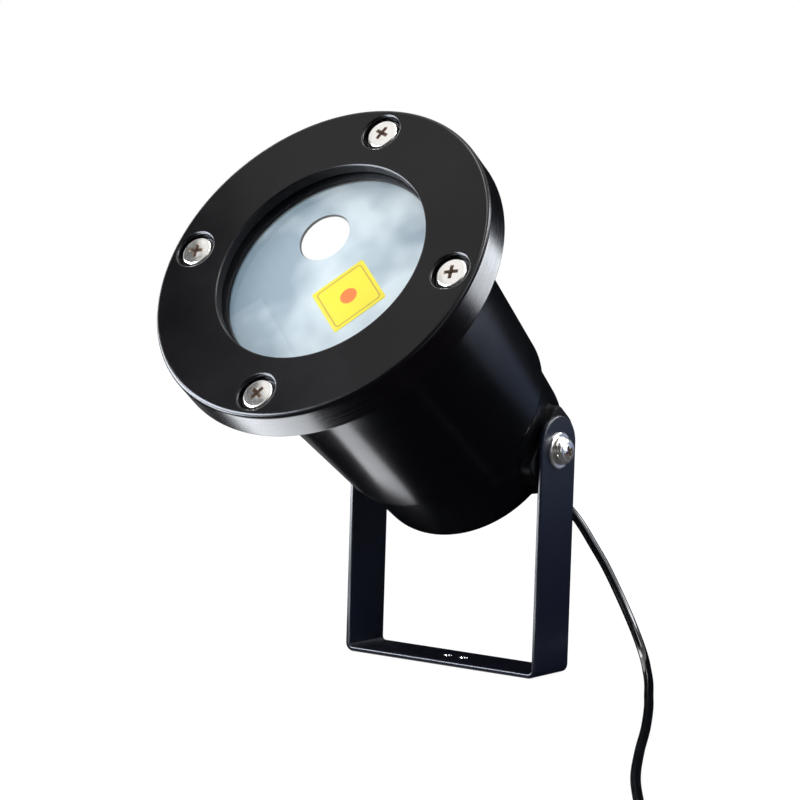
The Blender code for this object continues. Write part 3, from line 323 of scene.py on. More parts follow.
def mix_color(tree, factor, a, b):
    """A Mix node on two colours, each a link or a value, giving its output.

    With its data type on colour, the node's factor is socket 0 and its colours are 6 and 7.
    """
    made = tree.nodes.new("ShaderNodeMix")
    made.data_type = "RGBA"
    for index, value in ((0, factor), (6, a), (7, b)):
        if isinstance(value, bpy.types.NodeSocket):
            tree.links.new(value, made.inputs[index])
        else:
            made.inputs[index].default_value = value
    return made.outputs[2]


def mixed_surface(tree, factor, first, second):
    """Makes the material's surface the first shader at factor 0 and the second at factor 1."""
    mix = tree.nodes.new("ShaderNodeMixShader")
    for index, socket in enumerate((factor, first, second)):
        tree.links.new(socket, mix.inputs[index])
    tree.links.new(mix.outputs[0], tree.nodes["Material Output"].inputs["Surface"])


def object_coordinates(tree):
    """The Object output of a Texture Coordinate node."""
    return tree.nodes.new("ShaderNodeTexCoord").outputs["Object"]


def mapped(tree, vector, socket, value):
    """A vector through a Mapping node with one of its sockets set, such as Scale."""
    mapping = tree.nodes.new("ShaderNodeMapping")
    mapping.inputs[socket].default_value = value
    tree.links.new(vector, mapping.inputs["Vector"])
    return mapping.outputs["Vector"]


def noise(tree, vector, scale, detail=2.0, roughness=0.5):
    """Noise of a given scale per metre on a vector, giving its 0 to 1 value."""
    made = tree.nodes.new("ShaderNodeTexNoise")
    made.inputs["Scale"].default_value = scale
    made.inputs["Detail"].default_value = detail
    made.inputs["Roughness"].default_value = roughness
    tree.links.new(vector, made.inputs["Vector"])
    return made.outputs["Fac"]


def swing(tree, value, amount):
    """A 0 to 1 value made to swing about nothing: (value - 0.5) * amount."""
    return math_node(tree, "MULTIPLY", math_node(tree, "SUBTRACT", value, 0.5), amount)


def bumped(tree, height, distance, normal, strength=1.0):
    """A Bump node of a distance in metres, from a height to a Normal socket."""
    bump = tree.nodes.new("ShaderNodeBump")
    bump.inputs["Strength"].default_value = strength
    bump.inputs["Distance"].default_value = distance
    tree.links.new(height, bump.inputs["Height"])
    tree.links.new(bump.outputs["Normal"], normal)


# %% [markdown]
# Paint on a die casting or a strip of steel is never quite flat. It has a fine orange peel,
# drifts a little in gloss, and holds a few dust specks. Where the metal was turned on a lathe
# first, the turning marks show through as fine rings about the lamp's axis: a noise turned to
# that axis and stretched across it.

# %% Group: paint film
PEEL_SCALE, MARK_SCALE, GLOSS_SCALE, SPECK_SCALE = 900.0, 2600.0, 38.0, 2300.0
MARK_STRETCH = (0.012, 0.012, 1.0)
SPECK_LEVEL, SPECK_SHARE, SPECK_COLOR = 0.79, 0.04, (0.4, 0.4, 0.4, 1.0)
PAINT_GLOSS_SWING, PAINT_BUMP = 0.12, 0.00004


def make_paint_film():
    """Peel bump + turning-mark bump, roughness drift and specks, as a group."""
    group, given, put_out = new_finish_group(
        "paint_film", (0.01, 0.01, 0.01), 0.35, {"Peel": 0.2, "Turning Marks": 0.1})
    place = object_coordinates(group)
    turned = mapped(group, place, "Rotation", (-TILT, 0, 0))
    marks = noise(group, mapped(group, turned, "Scale", MARK_STRETCH), MARK_SCALE, 3.0, 0.7)
    peel = noise(group, place, PEEL_SCALE, 2.0)
    gloss = noise(group, place, GLOSS_SCALE, 3.0)
    specks = noise(group, place, SPECK_SCALE, 1.0)
    change = math_node(group, "ADD", swing(group, gloss, PAINT_GLOSS_SWING),
                       swing(group, marks, given["Turning Marks"]))
    group.links.new(math_node(group, "ADD", change, given["Roughness"]), put_out["Roughness"])
    speck_mask = math_node(group, "MULTIPLY",
                           math_node(group, "GREATER_THAN", specks, SPECK_LEVEL), SPECK_SHARE)
    group.links.new(mix_color(group, speck_mask, given["Color"], SPECK_COLOR),
                    put_out["Color"])
    height = math_node(group, "ADD", math_node(group, "MULTIPLY", peel, given["Peel"]),
                       math_node(group, "MULTIPLY", marks, given["Turning Marks"]))
    bumped(group, height, PAINT_BUMP, put_out["Normal"])
    return group


PAINT_FILM = make_paint_film()
print("group: paint_film")

# %% [markdown]
# Bright plating and bare metal show a fine scatter of scratches and a slow change of gloss
# where fingers and tools have been. Rubber and moulded plastic have a fine grain instead.

# %% Group: scratched metal
SCRATCH_STRETCHES = ((1.0, 0.06, 0.3), (0.08, 1.0, 0.25))
SCRATCH_SCALE, TARNISH_SCALE = 5200.0, 420.0
METAL_GLOSS_SWING, METAL_BUMP = 0.10, 0.00001
TARNISH_SHARE, TARNISH_COLOR = 0.35, (0.42, 0.37, 0.30, 1.0)


def make_scratched_metal():
    """Stretched noise both ways for scratches, as a roughness and a normal."""
    group, given, put_out = new_finish_group(
        "scratched_metal", (0.7, 0.7, 0.7), 0.2, {"Scratches": 0.2})
    place = object_coordinates(group)
    layers = [noise(group, mapped(group, place, "Scale", stretch), SCRATCH_SCALE, 2.0, 0.6)
              for stretch in SCRATCH_STRETCHES]
    scratch = math_node(group, "MULTIPLY", math_node(group, "ADD", *layers), 0.5)
    tarnish = noise(group, place, TARNISH_SCALE, 2.0)
    change = math_node(group, "ADD", swing(group, scratch, given["Scratches"]),
                       swing(group, tarnish, METAL_GLOSS_SWING))
    group.links.new(math_node(group, "ADD", change, given["Roughness"]), put_out["Roughness"])
    share = math_node(group, "MULTIPLY", tarnish, TARNISH_SHARE)
    group.links.new(mix_color(group, share, given["Color"], TARNISH_COLOR), put_out["Color"])
    bumped(group, math_node(group, "MULTIPLY", scratch, given["Scratches"]), METAL_BUMP,
           put_out["Normal"])
    return group


SCRATCHED_METAL = make_scratched_metal()
print("group: scratched_metal")

# %% Group: moulded grain
GRAIN_SCALE, WEAR_SCALE = 3600.0, 110.0
WEAR_LIGHTENS, MOULDED_GLOSS_SWING, GRAIN_BUMP = 1.25, 0.16, 0.00004


def make_moulded_grain():
    """Fine pebble grain and slow drift of colour and gloss for rubber and plastic."""
    group, given, put_out = new_finish_group(
        "moulded_grain", (0.02, 0.02, 0.02), 0.5, {"Grain": 0.3})
    place = object_coordinates(group)
    grain = noise(group, place, GRAIN_SCALE, 2.0)
    wear = noise(group, place, WEAR_SCALE, 3.0)
    group.links.new(math_node(group, "ADD", swing(group, wear, MOULDED_GLOSS_SWING),
                              given["Roughness"]), put_out["Roughness"])
    lighter = group.nodes.new("ShaderNodeVectorMath")
    lighter.operation = "SCALE"
    lighter.inputs["Scale"].default_value = WEAR_LIGHTENS
    group.links.new(given["Color"], lighter.inputs[0])
    group.links.new(mix_color(group, wear, given["Color"], lighter.outputs[0]),
                    put_out["Color"])
    bumped(group, math_node(group, "MULTIPLY", grain, given["Grain"]), GRAIN_BUMP,
           put_out["Normal"])
    return group


MOULDED_GRAIN = make_moulded_grain()
print("group: moulded_grain")

# %% [markdown]
# ## Finishes
# The black paints differ: the ring is smooth and a little glossier than the casting behind it,
# the bosses are duller, and the bracket's paint is a blue black. A low index of refraction
# stands for paint and print that mirror less than bare plastic would.

# %% Materials from the groups
COAT_ROUGHNESS = 0.12


def finished(name, group, color, roughness, effects, metallic=0.0, ior=None, coat=None):
    """A Principled material whose colour, roughness and normal come from one group."""
    material, tree, shader = new_material(name)
    made = tree.nodes.new("ShaderNodeGroup")
    made.node_tree = group
    for label, value in {"Color": (*color, 1.0), "Roughness": roughness, **effects}.items():
        made.inputs[label].default_value = value
    for label, target in (("Color", "Base Color"), ("Roughness", "Roughness"),
                          ("Normal", "Normal")):
        tree.links.new(made.outputs[label], shader.inputs[target])
    shader.inputs["Metallic"].default_value = metallic
    if ior:
        shader.inputs["IOR"].default_value = ior
    if coat:
        shader.inputs["Coat Weight"].default_value = coat
        shader.inputs["Coat Roughness"].default_value = COAT_ROUGHNESS
    material.diffuse_color = (*color, 1.0)
    return material


ring_paint = finished("ring_paint", PAINT_FILM, (0.0018, 0.0012, 0.0020), 0.24,
                      {"Peel": 0.10, "Turning Marks": 0.22}, ior=1.30)
housing_paint = finished("housing_paint", PAINT_FILM, (0.0012, 0.0013, 0.0018), 0.21,
                         {"Peel": 0.16, "Turning Marks": 0.10}, ior=1.36)
boss_paint = finished("boss_paint", PAINT_FILM, (0.0012, 0.0013, 0.0018), 0.52,
                      {"Peel": 0.16, "Turning Marks": 0.0}, ior=1.16)
bracket_paint = finished("bracket_paint", PAINT_FILM, (0.0045, 0.0058, 0.0130), 0.25,
                         {"Peel": 0.14, "Turning Marks": 0.0}, ior=1.40)
nickel = finished("nickel_plate", SCRATCHED_METAL, (0.94, 0.92, 0.89), 0.16,
                  {"Scratches": 0.22}, metallic=0.92)
# Painted shade: the cross recesses are coloured a dark brown metal, far darker than the nickel,
# where shade falls in them.
recess_painted_shade_metal = finished("recess_painted_shade_metal", SCRATCHED_METAL, (0.16, 0.10, 0.07), 0.45,
                        {"Scratches": 0.4}, metallic=0.6)
aluminium = finished("machined_aluminium", SCRATCHED_METAL, (0.70, 0.71, 0.72), 0.34,
                     {"Scratches": 0.5}, metallic=1.0)
brass = finished("turned_brass", SCRATCHED_METAL, (0.78, 0.58, 0.26), 0.26,
                 {"Scratches": 0.35}, metallic=1.0)
# A near-black that mirrors little. On the seal it is the seal's own black rubber; on the ring's
# opening wall it is painted shade.
seal_rubber_and_painted_shade = finished("seal_rubber_and_painted_shade", MOULDED_GRAIN, (0.0018, 0.0022, 0.0030), 0.55,
                      {"Grain": 0.4}, ior=1.16)
rubber = finished("black_rubber", MOULDED_GRAIN, (0.012, 0.012, 0.013), 0.62, {"Grain": 0.5})
cord_jacket = finished("cord_jacket", MOULDED_GRAIN, (0.0025, 0.0026, 0.0032), 0.13,
                       {"Grain": 0.02}, ior=1.42)
black_moulding = finished("black_moulding", MOULDED_GRAIN, (0.012, 0.012, 0.013), 0.45,
                          {"Grain": 0.4})
red_insulation = finished("red_insulation", MOULDED_GRAIN, (0.52, 0.02, 0.015), 0.42,
                          {"Grain": 0.2})
solder_mask = finished("solder_mask", MOULDED_GRAIN, (0.02, 0.15, 0.05), 0.35,
                       {"Grain": 0.2}, coat=0.4)
white_tie = finished("white_tie", MOULDED_GRAIN, (0.72, 0.73, 0.74), 0.5, {"Grain": 0.4})
print("materials:", len(bpy.data.materials))

# %% [markdown]
# ## The cord
# A thin two-core low-voltage cord, 2.5 mm across and about 1.6 m long. It leaves the gland at
# the rear of the lamp, droops beside the right arm, and runs over the floor out of the
# picture, where the rest is wound into a coil with a twist tie, its plug beside it. The route
# is the one of the CAD model, smoothed; the jacket is a ring of points carried along it.

# %% The cord's route
LEAD_ROUTE = np.array([
    (0.0, 0.01727, 0.04555), (0.0, 0.0190, 0.0445), (0.0007, 0.0214, 0.0436),
    (0.0025, 0.0239, 0.0433), (0.0070, 0.0270, 0.0441), (0.0097, 0.0278, 0.0437),
    (0.0120, 0.0285, 0.0422), (0.0158, 0.0298, 0.0383), (0.0185, 0.0306, 0.0349),
    (0.0215, 0.0313, 0.0305), (0.0252, 0.0320, 0.0251), (0.0301, 0.0320, 0.0176),
    (0.0360, 0.0304, 0.0096), (0.0420, 0.0259, 0.0040), (0.0496, 0.0160, 0.0015),
    (0.0580, 0.0034, 0.0013), (0.0666, -0.0103, 0.0013), (0.0749, -0.0235, 0.0013),
    (0.0892, -0.0476, 0.0013), (0.1036, -0.0732, 0.0013), (0.1188, -0.0988, 0.0013),
    (0.1354, -0.1234, 0.0013), (0.1516, -0.1474, 0.0014), (0.1646, -0.1666, 0.0019),
    (0.1734, -0.1796, 0.0023)]) / MM
TAIL_ROUTE = np.array([(0.0, 12.6), (4.0, 12.3), (9.0, 10.8), (14.0, 8.4), (19.0, 6.2),
                       (24.0, 5.1), (28.0, 4.9)])       # along the coil's last heading, height
COIL_CENTRE = np.array([163.1, -200.2])
COIL_MIDDLE_R, COIL_PITCH, COIL_LAYERS = 15.0, 3.4, 4
COIL_ENTRY, COIL_EXIT = math.radians(32.0), math.radians(-100.0)
COIL_TURNS = 13 + (COIL_ENTRY - COIL_EXIT) / math.tau
COIL_CLIMB = 0.5               # turns that the cord takes to climb to the next layer
TIE_THICK, TIE_WIDTH, TIE_ANGLE = 0.8, 3.0, math.radians(-40.0)
LAYER_TURNS = (COIL_TURNS - COIL_CLIMB * (COIL_LAYERS - 1)) / COIL_LAYERS
COIL_WIDTH = LAYER_TURNS * COIL_PITCH
KNOTS_PER_TURN, POINTS_PER_SPAN, CORD_STEP, CORD_SIDES = 24, 24, 1.6, 16


def coil_line():
    """Spirals in and out, layer by layer: angle falls with the turns, radius and height follow.

    Each layer takes LAYER_TURNS turns for its spiral and half a turn to climb to the next.
    """
    turn = np.linspace(0, COIL_TURNS, int(round(COIL_TURNS * KNOTS_PER_TURN)) + 1)
    layer = np.minimum((turn / (LAYER_TURNS + COIL_CLIMB)).astype(int), COIL_LAYERS - 1)
    into = turn - layer * (LAYER_TURNS + COIL_CLIMB)
    share = np.minimum(into / LAYER_TURNS, 1.0)
    climb = np.maximum(into - LAYER_TURNS, 0.0) / COIL_CLIMB
    outer, inner = COIL_MIDDLE_R + COIL_WIDTH / 2, COIL_MIDDLE_R - COIL_WIDTH / 2
    radius = np.where(layer % 2 == 0, outer - COIL_WIDTH * share, inner + COIL_WIDTH * share)
    angle = COIL_ENTRY - math.tau * turn
    return np.column_stack([COIL_CENTRE[0] + radius * np.cos(angle),
                            COIL_CENTRE[1] + radius * np.sin(angle),
                            TIE_THICK + SEAT_GAP + CORD_R + COIL_PITCH * (layer + climb)])


def heading(angle):
    """Direction of travel on a coil wound clockwise: (sin a, -cos a, 0)."""
    return np.array([math.sin(angle), -math.cos(angle), 0.0])


def smooth_line(knots, step):
    """Centripetal Catmull-Rom curve through the knots, then points at equal steps along it.

    Knot times grow with the square root of each span, and each span is the cubic with the
    finite-difference tangents of its ends.
    """
    spans = np.sqrt(np.linalg.norm(np.diff(knots, axis=0), axis=1))
    slope = np.diff(knots, axis=0) / spans[:, None]
    inner = ((slope[:-1] * spans[1:, None] + slope[1:] * spans[:-1, None])
             / (spans[1:] + spans[:-1])[:, None])
    tangent = np.vstack([slope[:1], inner, slope[-1:]])
    u = np.linspace(0, 1, POINTS_PER_SPAN, endpoint=False)
    h00, h10 = 2 * u ** 3 - 3 * u ** 2 + 1, u ** 3 - 2 * u ** 2 + u
    h01, h11 = 3 * u ** 2 - 2 * u ** 3, u ** 3 - u ** 2
    fine = (h00[None, :, None] * knots[:-1, None] + h01[None, :, None] * knots[1:, None]
            + (h10[None, :, None] * tangent[:-1, None] + h11[None, :, None] * tangent[1:, None])
            * spans[:, None, None]).reshape(-1, 3)
    fine = np.vstack([fine, knots[-1:]])
    run = np.concatenate([[0.0], np.cumsum(np.linalg.norm(np.diff(fine, axis=0), axis=1))])
    places = np.linspace(0, run[-1], int(round(run[-1] / step)) + 1)
    line = np.column_stack([np.interp(places, run, fine[:, k]) for k in range(3)])
    return line, run[-1]


def swept(line, loop):
    """Grid of a flat loop carried along a line: p + x side + y lift, side = up x travel."""
    travel = np.gradient(line, axis=0)
    travel /= np.linalg.norm(travel, axis=1)[:, None]
    side = np.cross(np.broadcast_to((0.0, 0.0, 1.0), line.shape), travel)
    side /= np.linalg.norm(side, axis=1)[:, None]
    lift = np.cross(travel, side)
    return line[:, None] + loop[None, :, :1] * side[:, None] + loop[None, :, 1:] * lift[:, None]


coil = coil_line()
coil_start = coil[0] - heading(COIL_ENTRY) * 2 * CORD_R
coil_end = coil[-1] + heading(COIL_EXIT) * 2 * CORD_R
tail_drop = coil_end[2] - TAIL_ROUTE[0, 1]
tail = coil_end + np.outer(TAIL_ROUTE[:, 0], heading(COIL_EXIT))
tail[:, 2] = TAIL_ROUTE[:, 1] + tail_drop * (1 - TAIL_ROUTE[:, 0] / TAIL_ROUTE[-1, 0])
cord_knots = np.vstack([LEAD_ROUTE, coil_start, coil, tail])
cord_line, cord_length = smooth_line(cord_knots, CORD_STEP)
print(f"cord: {cord_length:.0f} mm in {len(cord_line)} points")

# %% The cord's jacket
cord_grid = closed_ends(swept(cord_line, circle(JACKET_R, CORD_SIDES)))
power_cord = make_piece("power_cord", [(cord_grid, False, True)], cord_jacket,
                        None, lamp=False)
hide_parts("cord_lead", "cord_coil", "cord_tail")
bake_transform(power_cord)


# %% [markdown]
# The plug is the usual round low-voltage plug: a soft sleeve with grooves where the cord goes
# in, a grip with flutes for the fingers, and a nickel barrel with a black ring in its mouth.

# %% The plug's sleeve and grip
PLUG_SLEEVE, PLUG_GRIP, PLUG_BARREL = 10.0, 14.0, 9.5
PLUG_GRIP_R, PLUG_SLEEVE_TIP_R, PLUG_BARREL_R = 4.8, 2.1, 2.75
NECK_SHARE, NOSE_SHARE = 0.62, 0.82                   # of the grip's radius, at its two ends
GROOVE_DEPTH, GROOVE_PITCH, GROOVES_FROM, GROOVES_TO = 0.32, 2.2, 1.2, 9.6
FLUTE_DEPTH, FLUTES, PLUG_SEGMENTS = 0.42, 12, 96
SLEEVE_ROWS, GRIP_ROWS = 46, 50


def along_tail(grid):
    """Places a grid made about z past the tail's end, with its z along the tail's heading."""
    travel = heading(COIL_EXIT)
    side = np.array([-travel[1], travel[0], 0.0])
    up = np.array([0.0, 0.0, 1.0])
    x, y, z = grid[..., 0:1], grid[..., 1:2], grid[..., 2:3] + SEAT_GAP
    return tail[-1] + x * side + y * up + z * travel


def quarter_round(share):
    """Rises from 0 to 1 as a quarter of a circle: sqrt(1 - (1 - s)^2)."""
    return np.sqrt(np.clip(1 - (1 - np.clip(share, 0, 1)) ** 2, 0, 1))


def plug_radius(z, angle):
    """Sleeve taper with four grooves, then a grip with twelve flutes that fade at its ends."""
    taper = (PLUG_SLEEVE_TIP_R
             + (PLUG_GRIP_R * NECK_SHARE - PLUG_SLEEVE_TIP_R) * z / PLUG_SLEEVE)
    grooved = (z > GROOVES_FROM) * (z < GROOVES_TO)
    groove = GROOVE_DEPTH * np.clip(np.cos(math.tau * z / GROOVE_PITCH) - 0.1, 0, 1) * grooved
    into = (z - PLUG_SLEEVE) / PLUG_GRIP
    fade = np.clip(np.sin(math.pi * np.clip(into, 0, 1)) * 2.2 - 0.4, 0, 1)
    flute = FLUTE_DEPTH * fade * np.clip(np.cos(FLUTES * angle), 0, 1) ** 2
    shoulder = NECK_SHARE + (1 - NECK_SHARE) * quarter_round(into * 9)
    nose = NOSE_SHARE + (1 - NOSE_SHARE) * quarter_round((1 - into) * 12)
    return np.where(z < PLUG_SLEEVE, taper - groove, PLUG_GRIP_R * shoulder * nose - flute)


grip_run = (1 - np.cos(np.linspace(0, math.pi, GRIP_ROWS))) / 2
plug_z = np.concatenate([np.linspace(0, PLUG_SLEEVE, SLEEVE_ROWS)[:-1],
                         PLUG_SLEEVE + PLUG_GRIP * grip_run])
plug_angle = angles(PLUG_SEGMENTS)
plug_r = plug_radius(plug_z[:, None], plug_angle[None, :])
plug_grid = np.stack([plug_r * np.cos(plug_angle), plug_r * np.sin(plug_angle),
                      plug_z[:, None] + 0 * plug_r], axis=-1)
plug_body = make_piece("plug_body", [(along_tail(closed_ends(plug_grid)), False, True)],
                       rubber, "bracket", lamp=False)
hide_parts("dc_plug_body")

# %% The plug's barrel and the ring in its mouth
BORE_R, BORE_FLOOR = 2.2, 2.0
MOUTH_RING_INNER_R, MOUTH_RING_OUTER_R, MOUTH_RING_LENGTH, MOUTH_INSET = 1.05, 2.15, 7.0, 0.1
barrel_start, barrel_end = PLUG_SLEEVE + PLUG_GRIP, PLUG_SLEEVE + PLUG_GRIP + PLUG_BARREL
barrel_profile = filleted(
    [(0.0, barrel_start), (PLUG_BARREL_R, barrel_start), (PLUG_BARREL_R, barrel_end),
     (BORE_R, barrel_end), (BORE_R, barrel_start + BORE_FLOOR),
     (0.0, barrel_start + BORE_FLOOR)], (0, 0.25, 0.1, 0))
plug_barrel = make_piece(
    "plug_barrel", [(along_tail(revolved(barrel_profile, 64)), False, True)],
    nickel, "bracket", lamp=False)
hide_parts("dc_plug_barrel")
mouth_back, mouth_front = barrel_end - MOUTH_RING_LENGTH, barrel_end - MOUTH_INSET
mouth_profile = filleted(
    [(MOUTH_RING_INNER_R, mouth_back), (MOUTH_RING_INNER_R, mouth_front),
     (MOUTH_RING_OUTER_R, mouth_front), (MOUTH_RING_OUTER_R, mouth_back)], (0.15, 0.1))
plug_insulator = make_piece(
    "plug_insulator", [(along_tail(revolved(mouth_profile, 48)), True, True)],
    black_moulding, "bracket", lamp=False)

# %% [markdown]
# The coil is held by a twist tie: a white plastic ribbon with a wire down its middle, wrapped
# once round all the turns and twisted on the outside.

# %% The tie
TIE_INNER = (COIL_WIDTH + 2 * (CORD_R + SEAT_GAP),
             (COIL_LAYERS - 1) * COIL_PITCH + 2 * (CORD_R + SEAT_GAP))
RIBBON_HALF_THICK, WIRE_RIDGE, WIRE_SPREAD = 0.19, 0.17, 0.38
TWIST_TURNS, TWIST_REACH, TWIST_START = 1.6, 10.0, 1.0
TWIST_R, SPLAY, SPLAY_FROM = 0.40, 1.6, 0.72
TWIST_WIDTH_SHARE, TWIST_FLATTEN = 0.72, 0.9


def tie_place(radial, along, height):
    """Radial, travelling and height coordinates at the tie's place on the coil."""
    outward = np.array([math.cos(TIE_ANGLE), math.sin(TIE_ANGLE), 0.0])
    across = np.array([-math.sin(TIE_ANGLE), math.cos(TIE_ANGLE), 0.0])
    base = np.array([*COIL_CENTRE, 0.0]) + outward * COIL_MIDDLE_R
    return (base + np.asarray(radial)[..., None] * outward
            + np.asarray(along)[..., None] * across
            + np.asarray(height)[..., None] * np.array([0, 0, 1.0]))


def ribbon(width):
    """Section of the ribbon: thin at the sides, a round ridge of wire in the middle."""
    x = np.linspace(-width / 2, width / 2, 17)
    ridge = RIBBON_HALF_THICK + WIRE_RIDGE * np.exp(-(x / WIRE_SPREAD) ** 2)
    edge = np.sqrt(np.clip(1 - (2 * x / width) ** 8, 0.02, 1))
    return np.column_stack([np.concatenate([x, x[::-1]]),
                            np.concatenate([ridge * edge, -(ridge * edge)[::-1]])])


def twisted_end(hand):
    """One of the tie's two ends: a ribbon that circles the other at hand + turns, then splays."""
    run = np.linspace(0, 1, 60)
    angle = hand + run * math.tau * TWIST_TURNS
    spread = (TWIST_R + SPLAY * np.clip(run - SPLAY_FROM, 0, 1) ** 1.2)[:, None]
    flat = ribbon(TIE_WIDTH * TWIST_WIDTH_SHARE)
    c, s = np.cos(angle)[:, None], np.sin(angle)[:, None]
    sideways = spread * c - flat[None, :, 0] * s + flat[None, :, 1] * c
    rise = spread * s + flat[None, :, 0] * c + flat[None, :, 1] * s
    forward = np.broadcast_to((TWIST_START + TWIST_REACH * run)[:, None], rise.shape)
    lift = TIE_INNER[1] + 2 * TIE_THICK + 1.0 + TWIST_FLATTEN * rise
    return (closed_ends(tie_place(sideways, forward, lift)), False, True)


wrap_middle = rounded_rectangle(TIE_INNER[0] + TIE_THICK, TIE_INNER[1] + TIE_THICK, 1.9, 8)
wrap_normal = np.roll(wrap_middle, -1, axis=0) - np.roll(wrap_middle, 1, axis=0)
wrap_normal = np.column_stack([wrap_normal[:, 1], -wrap_normal[:, 0]])
wrap_normal /= np.linalg.norm(wrap_normal, axis=1)[:, None]
strip = ribbon(TIE_WIDTH)
wrap_rz = wrap_middle[:, None] + strip[None, :, 1:] * wrap_normal[:, None]
wrap_grid = tie_place(wrap_rz[..., 0], np.broadcast_to(strip[:, 0], wrap_rz.shape[:2]),
                      wrap_rz[..., 1] + TIE_THICK + TIE_INNER[1] / 2)
coil_tie = make_piece(
    "coil_twist_tie", [(wrap_grid, True, True), twisted_end(0.0), twisted_end(math.pi)],
    white_tie, "bracket", lamp=False, sharp_deg=60.0)
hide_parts("coil_tie")

# %% [markdown]
# ## Face ring
# A flat die-cast ring, turned and painted, with four counterbored screw holes. The rim, back
# and opening are a turned profile. The flat face with its holes can't be turned, so each hole
# gets its own patch of the face: rows run from the edge of the patch in to the hole's rim,
# then down the counterbore's wall and over its floor.

# %% The face ring
RIM_ROUND, OPENING_ROUND = 1.2, 0.45
FACE_OUTER = RING_R - RIM_ROUND - HOLD
FACE_INNER = OPENING_R + OPENING_ROUND + HOLD
COUNTERBORE_LIP, COUNTERBORE_FOOT = 0.7, 0.3           # rounds at its mouth and at its floor
PATCH_HALF, PLAIN_SPAN = math.radians(30.0), math.radians(30.0)
FACE_STEPS = 10                # of the face's grids, from the outer edge in
# Painted shade: these rows of the ring get the seal's near-black in place of the ring's paint.
SHADED_OPENING_ROWS = (7, 20)         # of the turned profile: the opening's wall and the glass's pocket


def sector_loop(middle, half, inner, outer, arc_steps, side_steps):
    """Edge of a ring sector as a closed loop: outer arc, side, inner arc back, side."""
    a = middle + np.linspace(-half, half, arc_steps + 1)
    r = np.linspace(outer, inner, side_steps + 1)[1:-1]
    parts = [np.column_stack([outer * np.cos(a), outer * np.sin(a)]),
             np.column_stack([r * math.cos(a[-1]), r * math.sin(a[-1])]),
             np.column_stack([inner * np.cos(a[::-1]), inner * np.sin(a[::-1])]),
             np.column_stack([r[::-1] * math.cos(a[0]), r[::-1] * math.sin(a[0])])]
    return np.concatenate(parts)


def holed_patch(edge, centre, hole_profile, face_rows=(1.0, 0.66, 0.33)):
    """Grid from a patch's edge in to a round hole, then along the hole's own profile.

    Edge points slide straight to the hole's circle at their own angle about its centre;
    hole_profile is (radius, z) from the face down and in.
    """
    offset = edge - np.asarray(centre)
    unit = offset / np.linalg.norm(offset, axis=1)[:, None]
    rows = []
    first_r, first_z = hole_profile[0]
    for share in face_rows:
        flat = np.asarray(centre) + unit * first_r * (1 - share) + offset * share
        rows.append(np.column_stack([flat, np.full(len(edge), first_z)]))
    for radius, z in hole_profile:
        flat = np.asarray(centre) + unit * radius
        rows.append(np.column_stack([flat, np.full(len(edge), z)]))
    return np.array(rows)


ring_profile = depth_profile(
    [(FACE_INNER, 0.0), (OPENING_R, 0.0), (OPENING_R, LIP_DEPTH), (GLASS_POCKET_R, LIP_DEPTH),
     (GLASS_POCKET_R, RING_PLATE), (FLANGE_POCKET_R, RING_PLATE), (FLANGE_POCKET_R, RING_DEPTH),
     (RING_R, RING_DEPTH), (RING_R, 0.0), (FACE_OUTER, 0.0)],
    (OPENING_ROUND, 0.25, 0, 0, 0, 0.15, 0.5, RIM_ROUND), 6)
counterbore = depth_profile(
    [(COUNTERBORE_R + 1.0, 0.0), (COUNTERBORE_R, 0.0), (COUNTERBORE_R, COUNTERBORE_DEPTH),
     (0.0, COUNTERBORE_DEPTH)], (COUNTERBORE_LIP, COUNTERBORE_FOOT), 7)
ring_parts = [(revolved(ring_profile), False, True)]
patch_steps = ROUND_SEGMENTS // 6
for k in range(4):
    middle = k * math.pi / 2
    edge = sector_loop(middle, PATCH_HALF, FACE_INNER, FACE_OUTER, patch_steps, FACE_STEPS)
    spot = (SCREW_CIRCLE_R * math.cos(middle), SCREW_CIRCLE_R * math.sin(middle))
    ring_parts.append((holed_patch(edge, spot, counterbore), False, True))
    plain_angle = middle + PATCH_HALF + np.linspace(0, PLAIN_SPAN, patch_steps // 2 + 1)
    plain_r = np.linspace(FACE_OUTER, FACE_INNER, FACE_STEPS + 1)[:, None]
    ring_parts.append((np.stack([plain_r * np.cos(plain_angle), plain_r * np.sin(plain_angle),
                                 at_depth(0.0) + 0 * plain_r + 0 * plain_angle], axis=-1),
                       False, False))
# The opening's wall and the glass's pocket take the near-black seal material: painted shade inside
# the ring's opening.
ring_row = np.arange((len(ring_profile) - 1) * ROUND_SEGMENTS) // ROUND_SEGMENTS
ring = make_piece(
    "screwed_face_ring", ring_parts, ring_paint, "head",
    marked=(seal_rubber_and_painted_shade, (ring_row >= SHADED_OPENING_ROWS[0]) & (ring_row < SHADED_OPENING_ROWS[1])))
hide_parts("face_ring")

# %% [markdown]
# ## Cross-recess screws
# The heads are what the eye goes to, so the recess is real geometry. A square grid is bent
# into a disc at its outside and left square in the middle, where its lines run along the edges
# of the cross. The recess is a depth over that grid: two wings that get deeper to the middle.

# %% Screw heads with a cross recess
WING_REACH, WING_HALF_WIDTH, WING_SLOPE = 0.47, 0.105, 0.035        # of the head's radius
RECESS_DEPTH = 0.78                                                 # of the head's height
WING_RAMP, CORE_REACH, CORE_RAMP = 0.40, 2.3, 0.9      # of a wing's length, and of its width
GRID_END = 1.05                # of a wing's length: where the square grid begins to bend
RECESS_SUM = 0.2               # a face is in the recess when its corners' depths add up to more


def recess_depth(x, y, reach, half_width, depth, slope):
    """Depth of the cross at (x, y): each wing deepens inwards and ends in steep walls."""
    def wing(a, b):
        run = np.clip((reach - np.abs(a)) / (reach * WING_RAMP), 0, 1)
        wall = np.clip((half_width + slope / 2 - np.abs(b)) / slope, 0, 1)
        return depth * run * wall
    core = depth * np.clip((half_width * CORE_REACH - np.abs(x) - np.abs(y))
                           / (half_width * CORE_RAMP), 0, 1)
    return np.maximum(np.maximum(wing(x, y), wing(y, x)), core)


